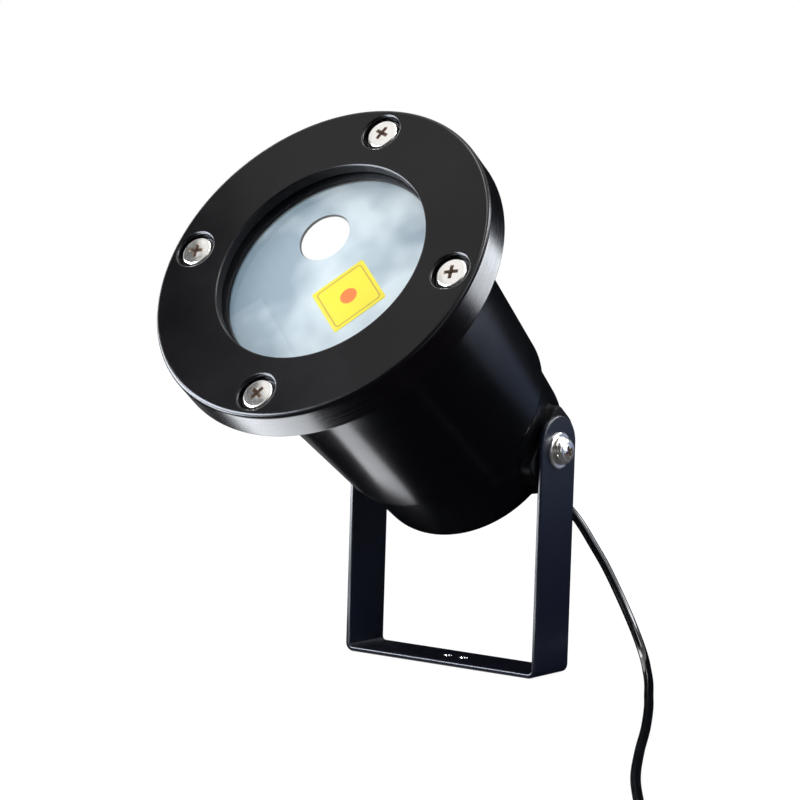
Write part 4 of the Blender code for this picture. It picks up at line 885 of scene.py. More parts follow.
def screw_grids(head_r, head_h, shank_r, shank_length, edge_round, crown):
    """Head top as a bent square grid, then the head's side, underside and shank as rows."""
    flat_r = head_r - edge_round
    reach, half_width, slope = (head_r * share for share in
                                (WING_REACH, WING_HALF_WIDTH, WING_SLOPE))
    key = np.concatenate([
        half_width * np.array([0.0, 0.5]), [half_width - slope / 2, half_width + slope / 2],
        half_width * np.array([1.5, 2.0]),
        reach * np.array([0.55, 0.7, 0.82, 0.92, 1.0, GRID_END, 1.25]),
        flat_r * np.array([0.8, 0.92, 1.0])])
    axis = np.concatenate([-key[:0:-1], key])
    u, v = np.meshgrid(axis, axis, indexing="ij")
    size = np.maximum(np.abs(u), np.abs(v))
    length = np.maximum(np.hypot(u, v), 1e-9)
    share = np.clip((size - reach * GRID_END) / (flat_r - reach * GRID_END), 0, 1)
    share = share * share * (3 - 2 * share)
    factor = (1 - share) + share * size / length
    x, y = u * factor, v * factor
    z = head_h - crown * (np.hypot(x, y) / flat_r) ** 2
    depth = recess_depth(x, y, reach, half_width, head_h * RECESS_DEPTH, slope)
    top = np.stack([x, y, z - depth], axis=-1)
    depth_sum = depth[:-1, :-1] + depth[1:, :-1] + depth[1:, 1:] + depth[:-1, 1:]
    # Faces deep enough in the recess get the dark metal: painted shade.
    shaded_recess = depth_sum.ravel() > RECESS_SUM
    edge = np.concatenate([top[:-1, 0], top[-1, :-1], top[:0:-1, -1], top[0, :0:-1]])[:, :2]
    side = filleted([(flat_r, head_h - crown), (head_r, head_h - crown - 0.02), (head_r, 0.0),
                     (shank_r, 0.0), (shank_r, -shank_length), (0.0, -shank_length)],
                    (edge_round * 0.9, 0.15, 0, 0.2), 6, 0.03)
    skirt = loop_rows(edge, side[:, 0] / flat_r, side[:, 1])
    return [(top, False, False), (skirt, False, True)], shaded_recess


def turned_about_z(parts, degrees):
    """The same grids turned about z."""
    a = math.radians(degrees)
    turn = np.array([[math.cos(a), math.sin(a), 0], [-math.sin(a), math.cos(a), 0], [0, 0, 1]])
    return [(part[0] @ turn, *part[1:]) for part in parts]


FACE_HEAD = dict(head_r=4.2, head_h=1.9, shank_r=2.0, shank_length=6.2, edge_round=0.75,
                 crown=0.22)
face_head_z = float(at_depth(COUNTERBORE_DEPTH - SEAT_GAP))
screw_turns = {"right": 12.0, "top": -20.0, "left": 8.0, "bottom": -32.0}
for k, (side, degrees) in enumerate(screw_turns.items()):
    angle = k * math.pi / 2
    parts, shaded_recess = screw_grids(**FACE_HEAD)
    shift = np.array([SCREW_CIRCLE_R * math.cos(angle), SCREW_CIRCLE_R * math.sin(angle),
                      face_head_z])
    parts = [(part[0] + shift, *part[1:]) for part in turned_about_z(parts, degrees)]
    # The recess faces get the dark metal: painted shade in the cross.
    screw = make_piece(f"cross_screw_{side}", parts, nickel, "head",
                       marked=(recess_painted_shade_metal, shaded_recess))
    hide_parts(f"face_screw_{side}")

# %% [markdown]
# ## Glass, seal, plate and window
# Behind the opening lie a 3 mm glass, a thin black seal, and a pale enamelled plate. The plate
# has one round hole with a frosted white window a little below its face, and a plain yellow
# sticker. The real glass refracts; its shadow is let through with Light Path, because a shadow
# of clear glass would otherwise darken the plate.

# %% Glass, plate and window materials
GLASS_ROUGHNESS, GLASS_SPECULAR, GLASS_IOR = 0.01, 0.12, 1.46
# Painted reflections and painted light on the plate: its cloud noise stands for the cloudy
# reflections seen on it through the glass, and its lightening towards +X for light falling more on
# that side.
REFLECTION_CLOUD_SHIFT, REFLECTION_CLOUD_SCALE = (0.011, 0.023, 0.004), 62.0
PAINTED_LIGHT_SLANT = 3.4              # how fast the clouds grow lighter towards +X, per metre
REFLECTION_CLOUD_FROM, REFLECTION_CLOUD_TO = 0.40, 0.64                      # the noise that gives each of two tones
PLATE_SHADED_TONE, PLATE_LIT_TONE = (0.26, 0.36, 0.44, 1), (0.64, 0.74, 0.80, 1)
ENAMEL_ROUGHNESS = 0.32
ENAMEL_GRAIN_SCALE, ENAMEL_GRAIN_HEIGHT, ENAMEL_GRAIN_STRENGTH = 2500.0, 0.00001, 0.25


def make_glass(name):
    """Clear glass that lets lamp light through to what lies behind it."""
    material, tree, shader = new_material(name)
    for socket, value in (("Base Color", (0.99, 1.0, 1.0, 1.0)), ("Roughness", GLASS_ROUGHNESS),
                          ("Specular IOR Level", GLASS_SPECULAR), ("IOR", GLASS_IOR),
                          ("Transmission Weight", 1.0)):
        shader.inputs[socket].default_value = value
    path = tree.nodes.new("ShaderNodeLightPath").outputs
    clear = tree.nodes.new("ShaderNodeBsdfTransparent")
    either = math_node(tree, "MAXIMUM", path["Is Shadow Ray"], path["Is Diffuse Ray"])
    mixed_surface(tree, either, shader.outputs[0], clear.outputs[0])
    return material


def make_enamel_with_painted_light():
    """Enamel in its own pale grey-blue, with painted reflections from cloud noise and painted
    light growing towards +X, between two tones.
    """
    material, tree, shader = new_material("enamel_with_painted_light")
    place = object_coordinates(tree)
    reflection_clouds = noise(tree, mapped(tree, place, "Location", REFLECTION_CLOUD_SHIFT), REFLECTION_CLOUD_SCALE, 2.0, 0.4)
    axes = tree.nodes.new("ShaderNodeSeparateXYZ")
    tree.links.new(place, axes.inputs["Vector"])
    light_slant = math_node(tree, "MULTIPLY", axes.outputs["X"], PAINTED_LIGHT_SLANT)
    ramp = tree.nodes.new("ShaderNodeMapRange")
    ramp.inputs["From Min"].default_value = REFLECTION_CLOUD_FROM
    ramp.inputs["From Max"].default_value = REFLECTION_CLOUD_TO
    tree.links.new(math_node(tree, "ADD", reflection_clouds, light_slant), ramp.inputs["Value"])
    tone = mix_color(tree, ramp.outputs["Result"], PLATE_SHADED_TONE, PLATE_LIT_TONE)
    tree.links.new(tone, shader.inputs["Base Color"])
    shader.inputs["Roughness"].default_value = ENAMEL_ROUGHNESS
    bumped(tree, noise(tree, place, ENAMEL_GRAIN_SCALE, 2.0), ENAMEL_GRAIN_HEIGHT,
           shader.inputs["Normal"], ENAMEL_GRAIN_STRENGTH)
    return material


window_glass = make_glass("window_glass")
enamel_with_painted_light = make_enamel_with_painted_light()
white_film = finished("frosted_white_film", MOULDED_GRAIN, (0.88, 0.88, 0.88), 0.45,
                      {"Grain": 0.15})
STICKER_FINISHES = {"yellow_sticker": ((0.84, 0.72, 0.003), 0.38),
                    "ochre_print": ((0.52, 0.36, 0.01), 0.4),
                    "orange_print": ((0.84, 0.17, 0.006), 0.4)}
yellow_sticker, ochre_print, orange_print = (
    finished(name, MOULDED_GRAIN, color, roughness, {"Grain": 0.12}, ior=1.18)
    for name, (color, roughness) in STICKER_FINISHES.items())

# %% Glass, seal and plate
GLASS_R, GLASS_FRONT, GLASS_THICK, GLASS_ROUND = 33.6, 3.3, 3.0, 0.4
GLASS_BACK = GLASS_FRONT + GLASS_THICK
glass_profile = depth_profile([(0.0, GLASS_FRONT), (GLASS_R, GLASS_FRONT), (GLASS_R, GLASS_BACK),
                               (0.0, GLASS_BACK)], (GLASS_ROUND, GLASS_ROUND))
glass = make_piece("lamp_glass", [(revolved(glass_profile), False, True)], window_glass,
                   "head")
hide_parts("front_glass")

SEAL_R, SEAL_WIDTH, SEAL_HALF, SEAL_ROUND = 31.1, 5.0, 0.7, 0.55
seal_middle = GLASS_BACK + SEAT_GAP + SEAL_HALF
seal_loop = rounded_rectangle(SEAL_WIDTH, 2 * SEAL_HALF, SEAL_ROUND, 6)
seal_profile = np.column_stack([SEAL_R + seal_loop[:, 0], at_depth(seal_middle) + seal_loop[:, 1]])
# The seal's near-black is partly its own black rubber and partly painted shade.
seal = make_piece("glass_seal", [(revolved(seal_profile), True, True)], seal_rubber_and_painted_shade,
                  "head")
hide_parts("glass_gasket")

PLATE_R, PLATE_BACK = 31.1, PLATE_FRONT + 1.2
HOLE_CLEAR = 1.5               # flat face round the aperture before its rounded edge
# Painted shade: the aperture's rounded edge and wall are coloured black rubber, which draws the
# dark crescent of shadow at the hole's edge.
SHADED_APERTURE_ROWS = (7, -1)        # of the plate's grid: the aperture's rounded edge and wall
hole_profile = depth_profile(
    [(APERTURE_R + HOLE_CLEAR, PLATE_FRONT), (APERTURE_R, PLATE_FRONT), (APERTURE_R, PLATE_BACK),
     (APERTURE_R + HOLE_CLEAR, PLATE_BACK)], (0.18, 0.1))
plate_rows = holed_patch(circle(PLATE_R, ROUND_SEGMENTS), APERTURE_XY, hole_profile,
                         (1.0, 0.75, 0.5, 0.25))
plate_back = plate_rows[:1].copy()
plate_back[..., 2] = float(at_depth(PLATE_BACK))
plate_row = np.arange((len(plate_rows) + 1) * ROUND_SEGMENTS) // ROUND_SEGMENTS
aperture_painted_shade = (plate_row >= SHADED_APERTURE_ROWS[0]) & (plate_row < len(plate_rows) + SHADED_APERTURE_ROWS[1])
# The aperture's faces get the black rubber as painted shade; the rest is enamel.
plate = make_piece("enamelled_plate", [(np.concatenate([plate_rows, plate_back]), True, True)],
                   enamel_with_painted_light, "head", marked=(rubber, aperture_painted_shade))
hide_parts("front_plate")

WINDOW_R, WINDOW_ROUND = APERTURE_R - 0.05, 0.1
WINDOW_FRONT, WINDOW_BACK = PLATE_FRONT + 0.7, PLATE_FRONT + 1.3
window_profile = depth_profile([(0.0, WINDOW_FRONT), (WINDOW_R, WINDOW_FRONT),
                                (WINDOW_R, WINDOW_BACK), (0.0, WINDOW_BACK)],
                               (WINDOW_ROUND, WINDOW_ROUND))
window = make_piece("frosted_window",
                    [(revolved(window_profile, 96, APERTURE_XY), False, True)],
                    white_film, "head")
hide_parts("grating_window")

# %% [markdown]
# The sticker is plain: yellow with a thin ochre line inside its edge and one orange dot. Each
# is a thin sheet with its own thickness, a few hundredths of a millimetre proud of the other.

# %% The sticker
STICKER_XY, STICKER_SIZE, STICKER_TURN = (7.75, -5.5), (15.4, 15.7), math.radians(50.0)
STICKER_CORNER = 0.5
LINE_CORNERS, LINE_INSETS = (1.1, 0.8), (1.8, 2.5)     # of its outer and inner edge
DOT_R, DOT_SEGMENTS = 2.3, 96
SHEET_TOP, SHEET_THICK, PRINT_TOP, PRINT_THICK = 0.12, 0.11, 0.15, 0.04


def sticker_sheet(loop, height, thick, inner=None):
    """A thin sheet, or a thin frame when there is an inner loop, lying on the plate."""
    base = at_depth(PLATE_FRONT) + 0.02
    soft = min(thick * 0.4, 0.02)
    if inner is None:
        scales = (0.0, 0.5, 1 - soft / 5, 1.0, 1.0, 0.5, 0.0)
        levels = (height, height, height, height - soft, height - thick, height - thick,
                  height - thick)
        return (loop_rows(loop, scales, base + np.array(levels)), False, True)
    rows = [(loop, height), (loop, height - thick), (inner, height - thick), (inner, height)]
    grid = np.array([np.column_stack([xy, np.full(len(xy), base + z)]) for xy, z in rows])
    return (grid, True, True)


def on_plate(part):
    """Turns a sticker sheet to its angle and moves it to its place on the plate."""
    c, s = math.cos(STICKER_TURN), math.sin(STICKER_TURN)
    grid = part[0].copy()
    x, y = part[0][..., 0], part[0][..., 1]
    grid[..., 0] = STICKER_XY[0] + c * x - s * y
    grid[..., 1] = STICKER_XY[1] + s * x + c * y
    return (grid, *part[1:])


sheet_loop = rounded_rectangle(*STICKER_SIZE, STICKER_CORNER)
line_outer, line_inner = (
    rounded_rectangle(STICKER_SIZE[0] - inset, STICKER_SIZE[1] - inset, corner)
    for inset, corner in zip(LINE_INSETS, LINE_CORNERS))
for name, sheet, material in (
        ("plain_sticker", sticker_sheet(sheet_loop, SHEET_TOP, SHEET_THICK), yellow_sticker),
        ("sticker_line", sticker_sheet(line_outer, PRINT_TOP, PRINT_THICK, line_inner),
         ochre_print),
        ("sticker_dot", sticker_sheet(circle(DOT_R, DOT_SEGMENTS), PRINT_TOP, PRINT_THICK),
         orange_print)):
    make_piece(name, [on_plate(sheet)], material, "head")

# %% [markdown]
# ## Housing
# One die casting: a flange inside the ring, a barrel that tapers to the rear, a round step
# down to the cup, and a flat boss on each side of the cup where the arms bear. The shell is a
# turned profile, inside and out. A boss is a loft: a rounded rectangle whose lower rows follow
# the cup's surface, x = sqrt(R^2 - y^2), and flare out into it.

# %% The housing shell
WALL, REAR_WALL, GLAND_HOLE_R = 2.6, 3.0, 6.0
FLANGE_R, FLANGE_FRONT, BARREL_FLARE = 43.6, 4.9, 0.35
STEP_INSIDE, STEP_DEPTH = 1.5, 0.12
LONGEST_SPAN = 4.0
shell_profile = depth_profile(
    [(GLAND_HOLE_R, HOUSING_LENGTH - REAR_WALL), (CUP_REAR_R - WALL, HOUSING_LENGTH - REAR_WALL),
     (CUP_FRONT_R - WALL, BARREL_END + STEP_INSIDE),
     (BARREL_REAR_R - WALL, BARREL_END - STEP_INSIDE),
     (BARREL_FRONT_R - WALL, PLATE_FRONT), (GLASS_POCKET_R, PLATE_FRONT),
     (GLASS_POCKET_R, FLANGE_FRONT), (FLANGE_R, FLANGE_FRONT), (FLANGE_R, RING_DEPTH),
     (BARREL_FRONT_R + BARREL_FLARE, RING_DEPTH), (BARREL_REAR_R, BARREL_END),
     (CUP_FRONT_R, BARREL_END + STEP_DEPTH), (CUP_REAR_R, HOUSING_LENGTH),
     (GLAND_HOLE_R, HOUSING_LENGTH)],
    (1.0, 0, 0, 0, 0, 0, 0.4, 0, 0.3, 1.7, 0.9, 4.0), 10)


def densified(profile, longest):
    """The same profile with long spans cut into equal shorter ones."""
    out = [profile[:1]]
    for a, b in zip(profile[:-1], profile[1:]):
        count = max(1, int(math.ceil(np.linalg.norm(b - a) / longest)))
        out.append(a + (b - a) * (np.arange(1, count + 1)[:, None] / count))
    return np.concatenate(out)


def cup_radius(z):
    """Cup radius at a lamp height, on its straight taper."""
    depth = PIVOT_DEPTH - z
    share = (depth - BARREL_END) / (HOUSING_LENGTH - BARREL_END)
    return CUP_FRONT_R + (CUP_REAR_R - CUP_FRONT_R) * share


# The boss's rounded rectangle, then its rows: (inset, drop) over the edge of its flat face, and
# (flare, height above the cup) down its side and into the cup.
BOSS_WIDTH, BOSS_HEIGHT, BOSS_CORNER, BOSS_BACK_CORNER = 13.0, 21.0, 2.5, 6.2
BOSS_EDGE = 0.62
BOSS_EDGE_ROWS = ((4.0, 0.0), (BOSS_EDGE, 0.0), (0.55, 0.0), (0.36, 0.04), (0.16, 0.16),
                  (0.04, 0.34), (0.0, 0.55), (0.0, BOSS_EDGE))
BOSS_FLARE_ROWS = ((0.0, 1.1), (0.04, 0.7), (0.12, 0.35), (0.25, 0.12), (0.42, 0.0), (0.6, -0.5))


def boss_grid(sign):
    """Boss rows from the middle of its flat face out, over its edge, and down into the cup."""
    loop = rounded_rectangle(BOSS_WIDTH, BOSS_HEIGHT, BOSS_CORNER, 8, BOSS_BACK_CORNER)
    norm = np.hypot(*loop.T)[:, None]
    rows = []
    for inset, drop in BOSS_EDGE_ROWS:
        yz = loop * (1 - inset / norm)
        rows.append(np.column_stack([np.full(len(loop), BOSS_FACE_X - drop), yz[:, 1],
                                     yz[:, 0]]))
    for flare, above in BOSS_FLARE_ROWS:
        yz = loop * (1 + flare / norm)
        surface = np.sqrt(cup_radius(yz[:, 0]) ** 2 - yz[:, 1] ** 2)
        x = np.minimum(surface + above, BOSS_FACE_X - BOSS_EDGE)
        rows.append(np.column_stack([x, yz[:, 1], yz[:, 0]]))
    grid = closed_ends(np.array(rows))
    grid[..., 0] *= sign
    return grid


shell = make_piece("cast_housing_shell",
                   [(revolved(densified(shell_profile, LONGEST_SPAN)), True, True)],
                   housing_paint, "head")
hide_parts("housing")
for side, sign in (("right", 1.0), ("left", -1.0)):
    make_piece(f"pivot_boss_{side}", [(boss_grid(sign), False, True)], boss_paint,
               "head")

# %% [markdown]
# ## U bracket
# A 1.3 mm steel strip, cut to length with full round ends, bent twice and painted. It is
# easiest to draw flat: a long stadium, its edges rounded by a few inset loops. A map then
# bends the flat strip: s runs along it, w across it and t through it, and past the end of the
# base s turns about the bend's centre and then climbs the arm. The two small holes in the base
# are patches as in the face ring, through both faces at once.

# %% The bent strip
MID_R = BEND_INNER_R + STRIP_THICK / 2
ARM_MID_X = BOSS_FACE_X + SEAT_GAP + STRIP_THICK / 2
BASE_HALF = ARM_MID_X - MID_R
BEND_LENGTH = MID_R * math.pi / 2
ARM_TOP = PIVOT_HEIGHT + ARM_ABOVE_PIVOT
HALF_S = BASE_HALF + BEND_LENGTH + ARM_TOP - STRIP_THICK / 2 - MID_R
HALF_W, HALF_T = STRIP_WIDTH / 2, STRIP_THICK / 2
EDGE_ROUND = 0.45
HOLE_REGION, HOLE_STEPS = 5.0, 9        # flat part with one hole, on each side of the middle
BEND_HOLD = 0.2                         # short spans that keep the flats flat beside a bend
END_ANGLES = 49                         # round each end, with the two that join the straights
FLAT_SHARES = (0.75, 0.5, 0.25)         # of the half width: inset loops on the flat faces


def bend_strip(flat):
    """Flat (s, w, t) to frame space: along the base, round the bend, then up the arm."""
    s, w, t = flat[..., 0], flat[..., 1], flat[..., 2]
    size, sign = np.abs(s), np.where(s < 0, -1.0, 1.0)
    turn = np.clip((size - BASE_HALF) / MID_R, 0, math.pi / 2)
    climb = np.maximum(size - BASE_HALF - BEND_LENGTH, 0.0)
    x = np.minimum(size, BASE_HALF) + (MID_R - t) * np.sin(turn)
    z = HALF_T + MID_R - (MID_R - t) * np.cos(turn) + climb
    return np.stack([sign * x, w, z], axis=-1)


bend_end, end_s = BASE_HALF + BEND_LENGTH, HALF_S - HALF_W
spans = ((0, HOLE_REGION, HOLE_STEPS), (HOLE_REGION, BASE_HALF - BEND_HOLD, 10),
         (BASE_HALF - BEND_HOLD, BASE_HALF, 2), (BASE_HALF, bend_end, 13),
         (bend_end, bend_end + BEND_HOLD, 2), (bend_end + BEND_HOLD, end_s, 15))
half_s = np.concatenate([np.linspace(*span)[:-1] for span in spans] + [[end_s]])
straight_s = np.concatenate([-half_s[:0:-1], half_s])
end_angle = np.linspace(-math.pi / 2, math.pi / 2, END_ANGLES)[1:-1]
spine_s = np.concatenate([straight_s[::-1], np.full(len(end_angle), -end_s), straight_s,
                          np.full(len(end_angle), end_s)])
out_s = np.concatenate([0 * straight_s, -np.cos(end_angle), 0 * straight_s, np.cos(end_angle)])
out_w = np.concatenate([0 * straight_s + 1, -np.sin(end_angle), 0 * straight_s - 1,
                        np.sin(end_angle)])


def strip_row(inset, t):
    """The stadium's edge moved in by an inset, at one height through the strip."""
    reach = HALF_W - inset
    return np.column_stack([spine_s + out_s * reach, out_w * reach, np.full(len(spine_s), t)])


inner_face = [(inset, HALF_T) for inset in
              (HALF_W, *(HALF_W * share for share in FLAT_SHARES), EDGE_ROUND + HOLD)]
over_edge = [(EDGE_ROUND * (1 - math.sin(a)), HALF_T - EDGE_ROUND * (1 - math.cos(a)))
             for a in np.linspace(0, math.pi / 2, 6)]
rows = inner_face + over_edge + [(inset, -t) for inset, t in (inner_face + over_edge)[::-1]]
strip_grid = np.array([strip_row(inset, t) for inset, t in rows])
flat_rows = len(inner_face) - 1


def in_hole_region(row, column):
    """True for the faces of the two flat sides over the holes, which the patches fill."""
    s_a = spine_s[column]
    s_b = spine_s[(column + 1) % len(spine_s)]
    flat = (row < flat_rows) | (row >= len(rows) - 1 - flat_rows)
    return flat & (np.abs(s_a) < HOLE_REGION + 0.01) & (np.abs(s_b) < HOLE_REGION + 0.01)


HOLE_PROFILE = ((1.9, HALF_T), (1.25, HALF_T), (0.85, HALF_T - 0.5), (0.85, -HALF_T),
                (1.6, -HALF_T))                        # a countersink, the hole, the outer face
BARE_FROM, BARE_LEFT = 4, 6    # rows of the patch that stay painted before and after the metal


def base_patch(sign):
    """Patch with one hole: inner face, hole wall and outer face as one grid."""
    s_side = sign * np.linspace(0, HOLE_REGION, HOLE_STEPS)
    w_max = HALF_W - EDGE_ROUND - HOLD
    w_half = np.concatenate([[w_max], HALF_W - HALF_W * np.array(FLAT_SHARES)[::-1], [0.0]])
    w_side = np.concatenate([w_half, -w_half[-2::-1]])
    edge = np.concatenate([
        np.column_stack([s_side, np.full(HOLE_STEPS, w_max)])[:-1],
        np.column_stack([np.full(len(w_side), s_side[-1]), w_side])[:-1],
        np.column_stack([s_side[::-1], np.full(HOLE_STEPS, -w_max)])[:-1],
        np.column_stack([np.full(len(w_side), s_side[0]), w_side[::-1]])[:-1]])
    spot = (sign * HOLE_REGION / 2, 0.0)
    down = filleted(HOLE_PROFILE, (0.06, 0.1, 0.12), 3, 0.03)
    upper = holed_patch(edge, spot, down, (1.0, 0.5))
    lower = holed_patch(edge, spot, down[-1:], (0.5, 1.0))[:2]
    return (bend_strip(np.concatenate([upper, lower])), False, True)


patches = [base_patch(1.0), base_patch(-1.0)]
patch_rows, patch_columns = patches[0][0].shape[:2]
patch_row = np.arange((patch_rows - 1) * patch_columns) // patch_columns
bare_edge = (patch_row >= BARE_FROM) & (patch_row < patch_rows - BARE_LEFT)
bracket = make_piece(
    "bent_u_bracket",
    [*patches, (bend_strip(strip_grid), False, True, in_hole_region)],
    bracket_paint, "bracket", lamp=False,
    marked=(nickel, np.concatenate([bare_edge, bare_edge])))
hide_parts("u_bracket")

# %% [markdown]
# ## Pivot hardware
# On each arm sit a flat washer, a split spring washer and a pan-head screw with a cross
# recess. The spring washer is a square section carried round nearly a full turn while it rises
# a little, as a real one does before it is squeezed flat.

# %% Pivot screws and washers
FLAT_X = BOSS_FACE_X + SEAT_GAP + STRIP_THICK
FLAT_THICK, FLAT_INNER_R, FLAT_OUTER_R, FLAT_BACK_R = 0.8, 2.25, 4.75, 3.4
FLAT_SINK = 0.2                # how far the flat washer's back lies in the arm
SPRING_THICK, SPRING_R, SPRING_WIDTH, SPRING_RISE = 0.62, 2.95, 1.45, 0.2
SPRING_TRIM = 0.18             # taken off the section's height, so that it rises in its room
SPRING_FROM, SPRING_TO, SPRING_TURN = math.radians(9.0), math.radians(351.0), 110.0
PIVOT_HEAD = dict(head_r=3.5, head_h=1.75, shank_r=2.0, shank_length=11.0, edge_round=1.25,
                  crown=0.3)
SPRING_X, PIVOT_HEAD_X = FLAT_X + FLAT_THICK - 0.15, FLAT_X + 1.4


def outward(parts, sign, x):
    """Turns grids made about z so that z points out of the arm, at a distance along X."""
    moved = []
    for part in parts:
        g = part[0]
        moved.append((np.stack([sign * (x + g[..., 2]), sign * g[..., 0], g[..., 1]], axis=-1),
                      *part[1:]))
    return moved


def spring_washer_grid():
    """Section at angle a: a rectangle round SPRING_R, lifted by SPRING_RISE over a turn."""
    loop = rounded_rectangle(SPRING_WIDTH, SPRING_THICK - SPRING_TRIM, 0.16, 3)
    a = np.linspace(SPRING_FROM, SPRING_TO, 80)[:, None]
    r = SPRING_R + loop[None, :, 0]
    middle = (SPRING_THICK + SPRING_TRIM) / 2
    z = middle + loop[None, :, 1] + SPRING_RISE * (a / math.tau - 0.5)
    return closed_ends(np.stack([r * np.cos(a), r * np.sin(a), z], axis=-1))


flat_profile = filleted(
    [(FLAT_INNER_R, 0.0), (FLAT_INNER_R, FLAT_THICK), (FLAT_OUTER_R, FLAT_THICK),
     (FLAT_OUTER_R, 0.0), (FLAT_BACK_R, 0.0)], (0.1, 0.28, 0.12))
for side, sign, degrees in (("right", 1.0, 64.0), ("left", -1.0, 20.0)):
    flat = make_piece(f"plain_washer_{side}",
                      outward([(revolved(flat_profile, 96), True, True)], sign,
                              FLAT_X - FLAT_SINK),
                      nickel, "head")
    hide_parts(f"flat_washer_{side}")
    spring = turned_about_z([(spring_washer_grid(), False, True)], SPRING_TURN)
    spring = make_piece(f"split_washer_{side}", outward(spring, sign, SPRING_X), nickel,
                        "head")
    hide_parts(f"spring_washer_{side}")
    parts, shaded_recess = screw_grids(**PIVOT_HEAD)
    # The recess faces get the dark metal: painted shade in the cross.
    screw = make_piece(f"pivot_cross_screw_{side}",
                       outward(turned_about_z(parts, degrees), sign, PIVOT_HEAD_X), nickel,
                       "head", marked=(recess_painted_shade_metal, shaded_recess))
    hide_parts(f"pivot_screw_{side}")

# %% [markdown]
# ## Cord gland
# A rubber bush with a flange and a tapered boot. The boot has grooves so that it bends with
# the cord: its radius is the taper minus a cosine where the grooves run.

# %% The gland's boot
GLAND_SHOULDER, GLAND_FLANGE, GLAND_FLANGE_R, GLAND_BOOT = 89.0, 2.5, 8.4, 11.5
GLAND_ROOT_R, GLAND_TIP_R, GLAND_BORE_R, GLAND_TAPER = 5.4, 2.2, 1.7, 0.8
GLAND_NECK_R, GLAND_NECK, GLAND_OVERLAP, BOOT_OVER, TIP_OVER = 5.7, 7.0, 0.2, 1.3, 0.15
BOOT_GROOVE, BOOT_GROOVES, BOOT_GROOVE_PHASE, BOOT_GROOVE_EDGE = 0.42, 5.0, 0.4, 0.25
GROOVE_SHARES = (0.06, 0.96)                           # of the boot's length
boot_run = np.linspace(0, 1, 90)
boot_r = GLAND_ROOT_R + (GLAND_TIP_R - GLAND_ROOT_R) * boot_run ** GLAND_TAPER
boot_wave = np.cos(math.tau * boot_run * BOOT_GROOVES + BOOT_GROOVE_PHASE) - BOOT_GROOVE_EDGE
in_grooves = (boot_run > GROOVE_SHARES[0]) * (boot_run < GROOVE_SHARES[1])
boot_r = boot_r - BOOT_GROOVE * np.clip(boot_wave, 0, 1) * in_grooves
boot_depth = GLAND_SHOULDER + GLAND_FLANGE + boot_run * (GLAND_BOOT + BOOT_OVER)
neck_depth, tip_depth = GLAND_SHOULDER - GLAND_NECK, boot_depth[-1] + TIP_OVER
flange_profile = filleted(
    [(GLAND_NECK_R, neck_depth), (GLAND_NECK_R, GLAND_SHOULDER - GLAND_OVERLAP),
     (GLAND_FLANGE_R, GLAND_SHOULDER - GLAND_OVERLAP),
     (GLAND_FLANGE_R, GLAND_SHOULDER + GLAND_FLANGE),
     (GLAND_ROOT_R + 0.5, GLAND_SHOULDER + GLAND_FLANGE)], (0, 0.2, 0.8), 6)
gland_profile = np.vstack([[[0.0, neck_depth]], flange_profile,
                           np.column_stack([boot_r, boot_depth]),
                           [[GLAND_BORE_R, tip_depth], [0.0, tip_depth]]])
gland_profile[:, 1] = at_depth(gland_profile[:, 1])
gland = make_piece("cord_gland_boot", [(revolved(gland_profile, 96), False, True)], rubber,
                   "head", sharp_deg=50.0)
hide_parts("cord_gland")

# %% [markdown]
# ## Inside the lamp
# The pieces inside keep their CAD shapes. Each gets a finish of its own kind.

# %% Finishes of the inner pieces
clear_lens = make_glass("lens_glass")
grating_film = finished("grating_film", MOULDED_GRAIN, (0.72, 0.80, 0.86), 0.18,
                        {"Grain": 0.3}, coat=0.5)
INNER_FINISHES = (
    (aluminium, "heat_sink grating_motor"),
    (brass, "laser_barrel lens_ring laser_diode board_standoff_1 board_standoff_2 "
            "board_standoff_3"),
    (nickel, "board_screw_1 board_screw_2 board_screw_3"),
    (clear_lens, "collimator_lens"),
    (grating_film, "grating_wheel"),
    (solder_mask, "driver_board wire_terminal"),
    (black_moulding, "driver_choke driver_capacitor driver_chip gland_nut"),
    (red_insulation, "laser_wire_red motor_wire_red supply_wire_red"),
    (cord_jacket, "laser_wire_black motor_wire_black supply_wire_black"),
)
inner_count = 0
for material, names in INNER_FINISHES:
    for name in names.split():
        inner_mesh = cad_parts[name].data
        inner_mesh.materials.clear()
        inner_mesh.materials.append(material)
        inner_count += 1
print("inner pieces:", inner_count)

# %% [markdown]
# ## Studio
# The floor and the background are white to the camera and in reflections, through Light Path,
# so that no extra light is needed to make them so. Three soft boxes and a low world light the
# lamp. All the rest are cards that only reflections see. Dark ones on the floor, behind the
# lamp, in front of it and inside the bracket keep the black paint black. Blue ones give the far
# sides a cool tone. Small bright ones draw the highlights on the ring's edge, the barrel, the
# bracket and the cord.

# %% World and floor
WORLD_LIGHT = 0.80             # strength of the world as a light; it is seen at 1
FLOOR_WHITE, FLOOR_SHARE = 1.05, 0.86                  # glow of the floor, and its share
FLOOR_TONE, FLOOR_ROUGHNESS = (0.93, 0.93, 0.93, 1.0), 0.9
FLOOR_CORNERS = [(-8, -8, 0), (8, -8, 0), (8, 8, 0), (-8, 8, 0)]


def seen_rays(tree):
    """1 for camera, glossy and transmission rays, 0 for the rays that carry light."""
    path = tree.nodes.new("ShaderNodeLightPath").outputs
    seen = math_node(tree, "MAXIMUM", path["Is Camera Ray"], path["Is Glossy Ray"])
    return math_node(tree, "MAXIMUM", seen, path["Is Transmission Ray"])


def stage_plane(name, corners, material):
    """A flat four-cornered sheet of the studio, which isn't part of the lamp."""
    mesh = bpy.data.meshes.new(name)
    mesh.from_pydata(corners, [], [(0, 1, 2, 3)])
    mesh.materials.append(material)
    sheet = bpy.data.objects.new(name, mesh)
    bpy.context.scene.collection.objects.link(sheet)
    return sheet


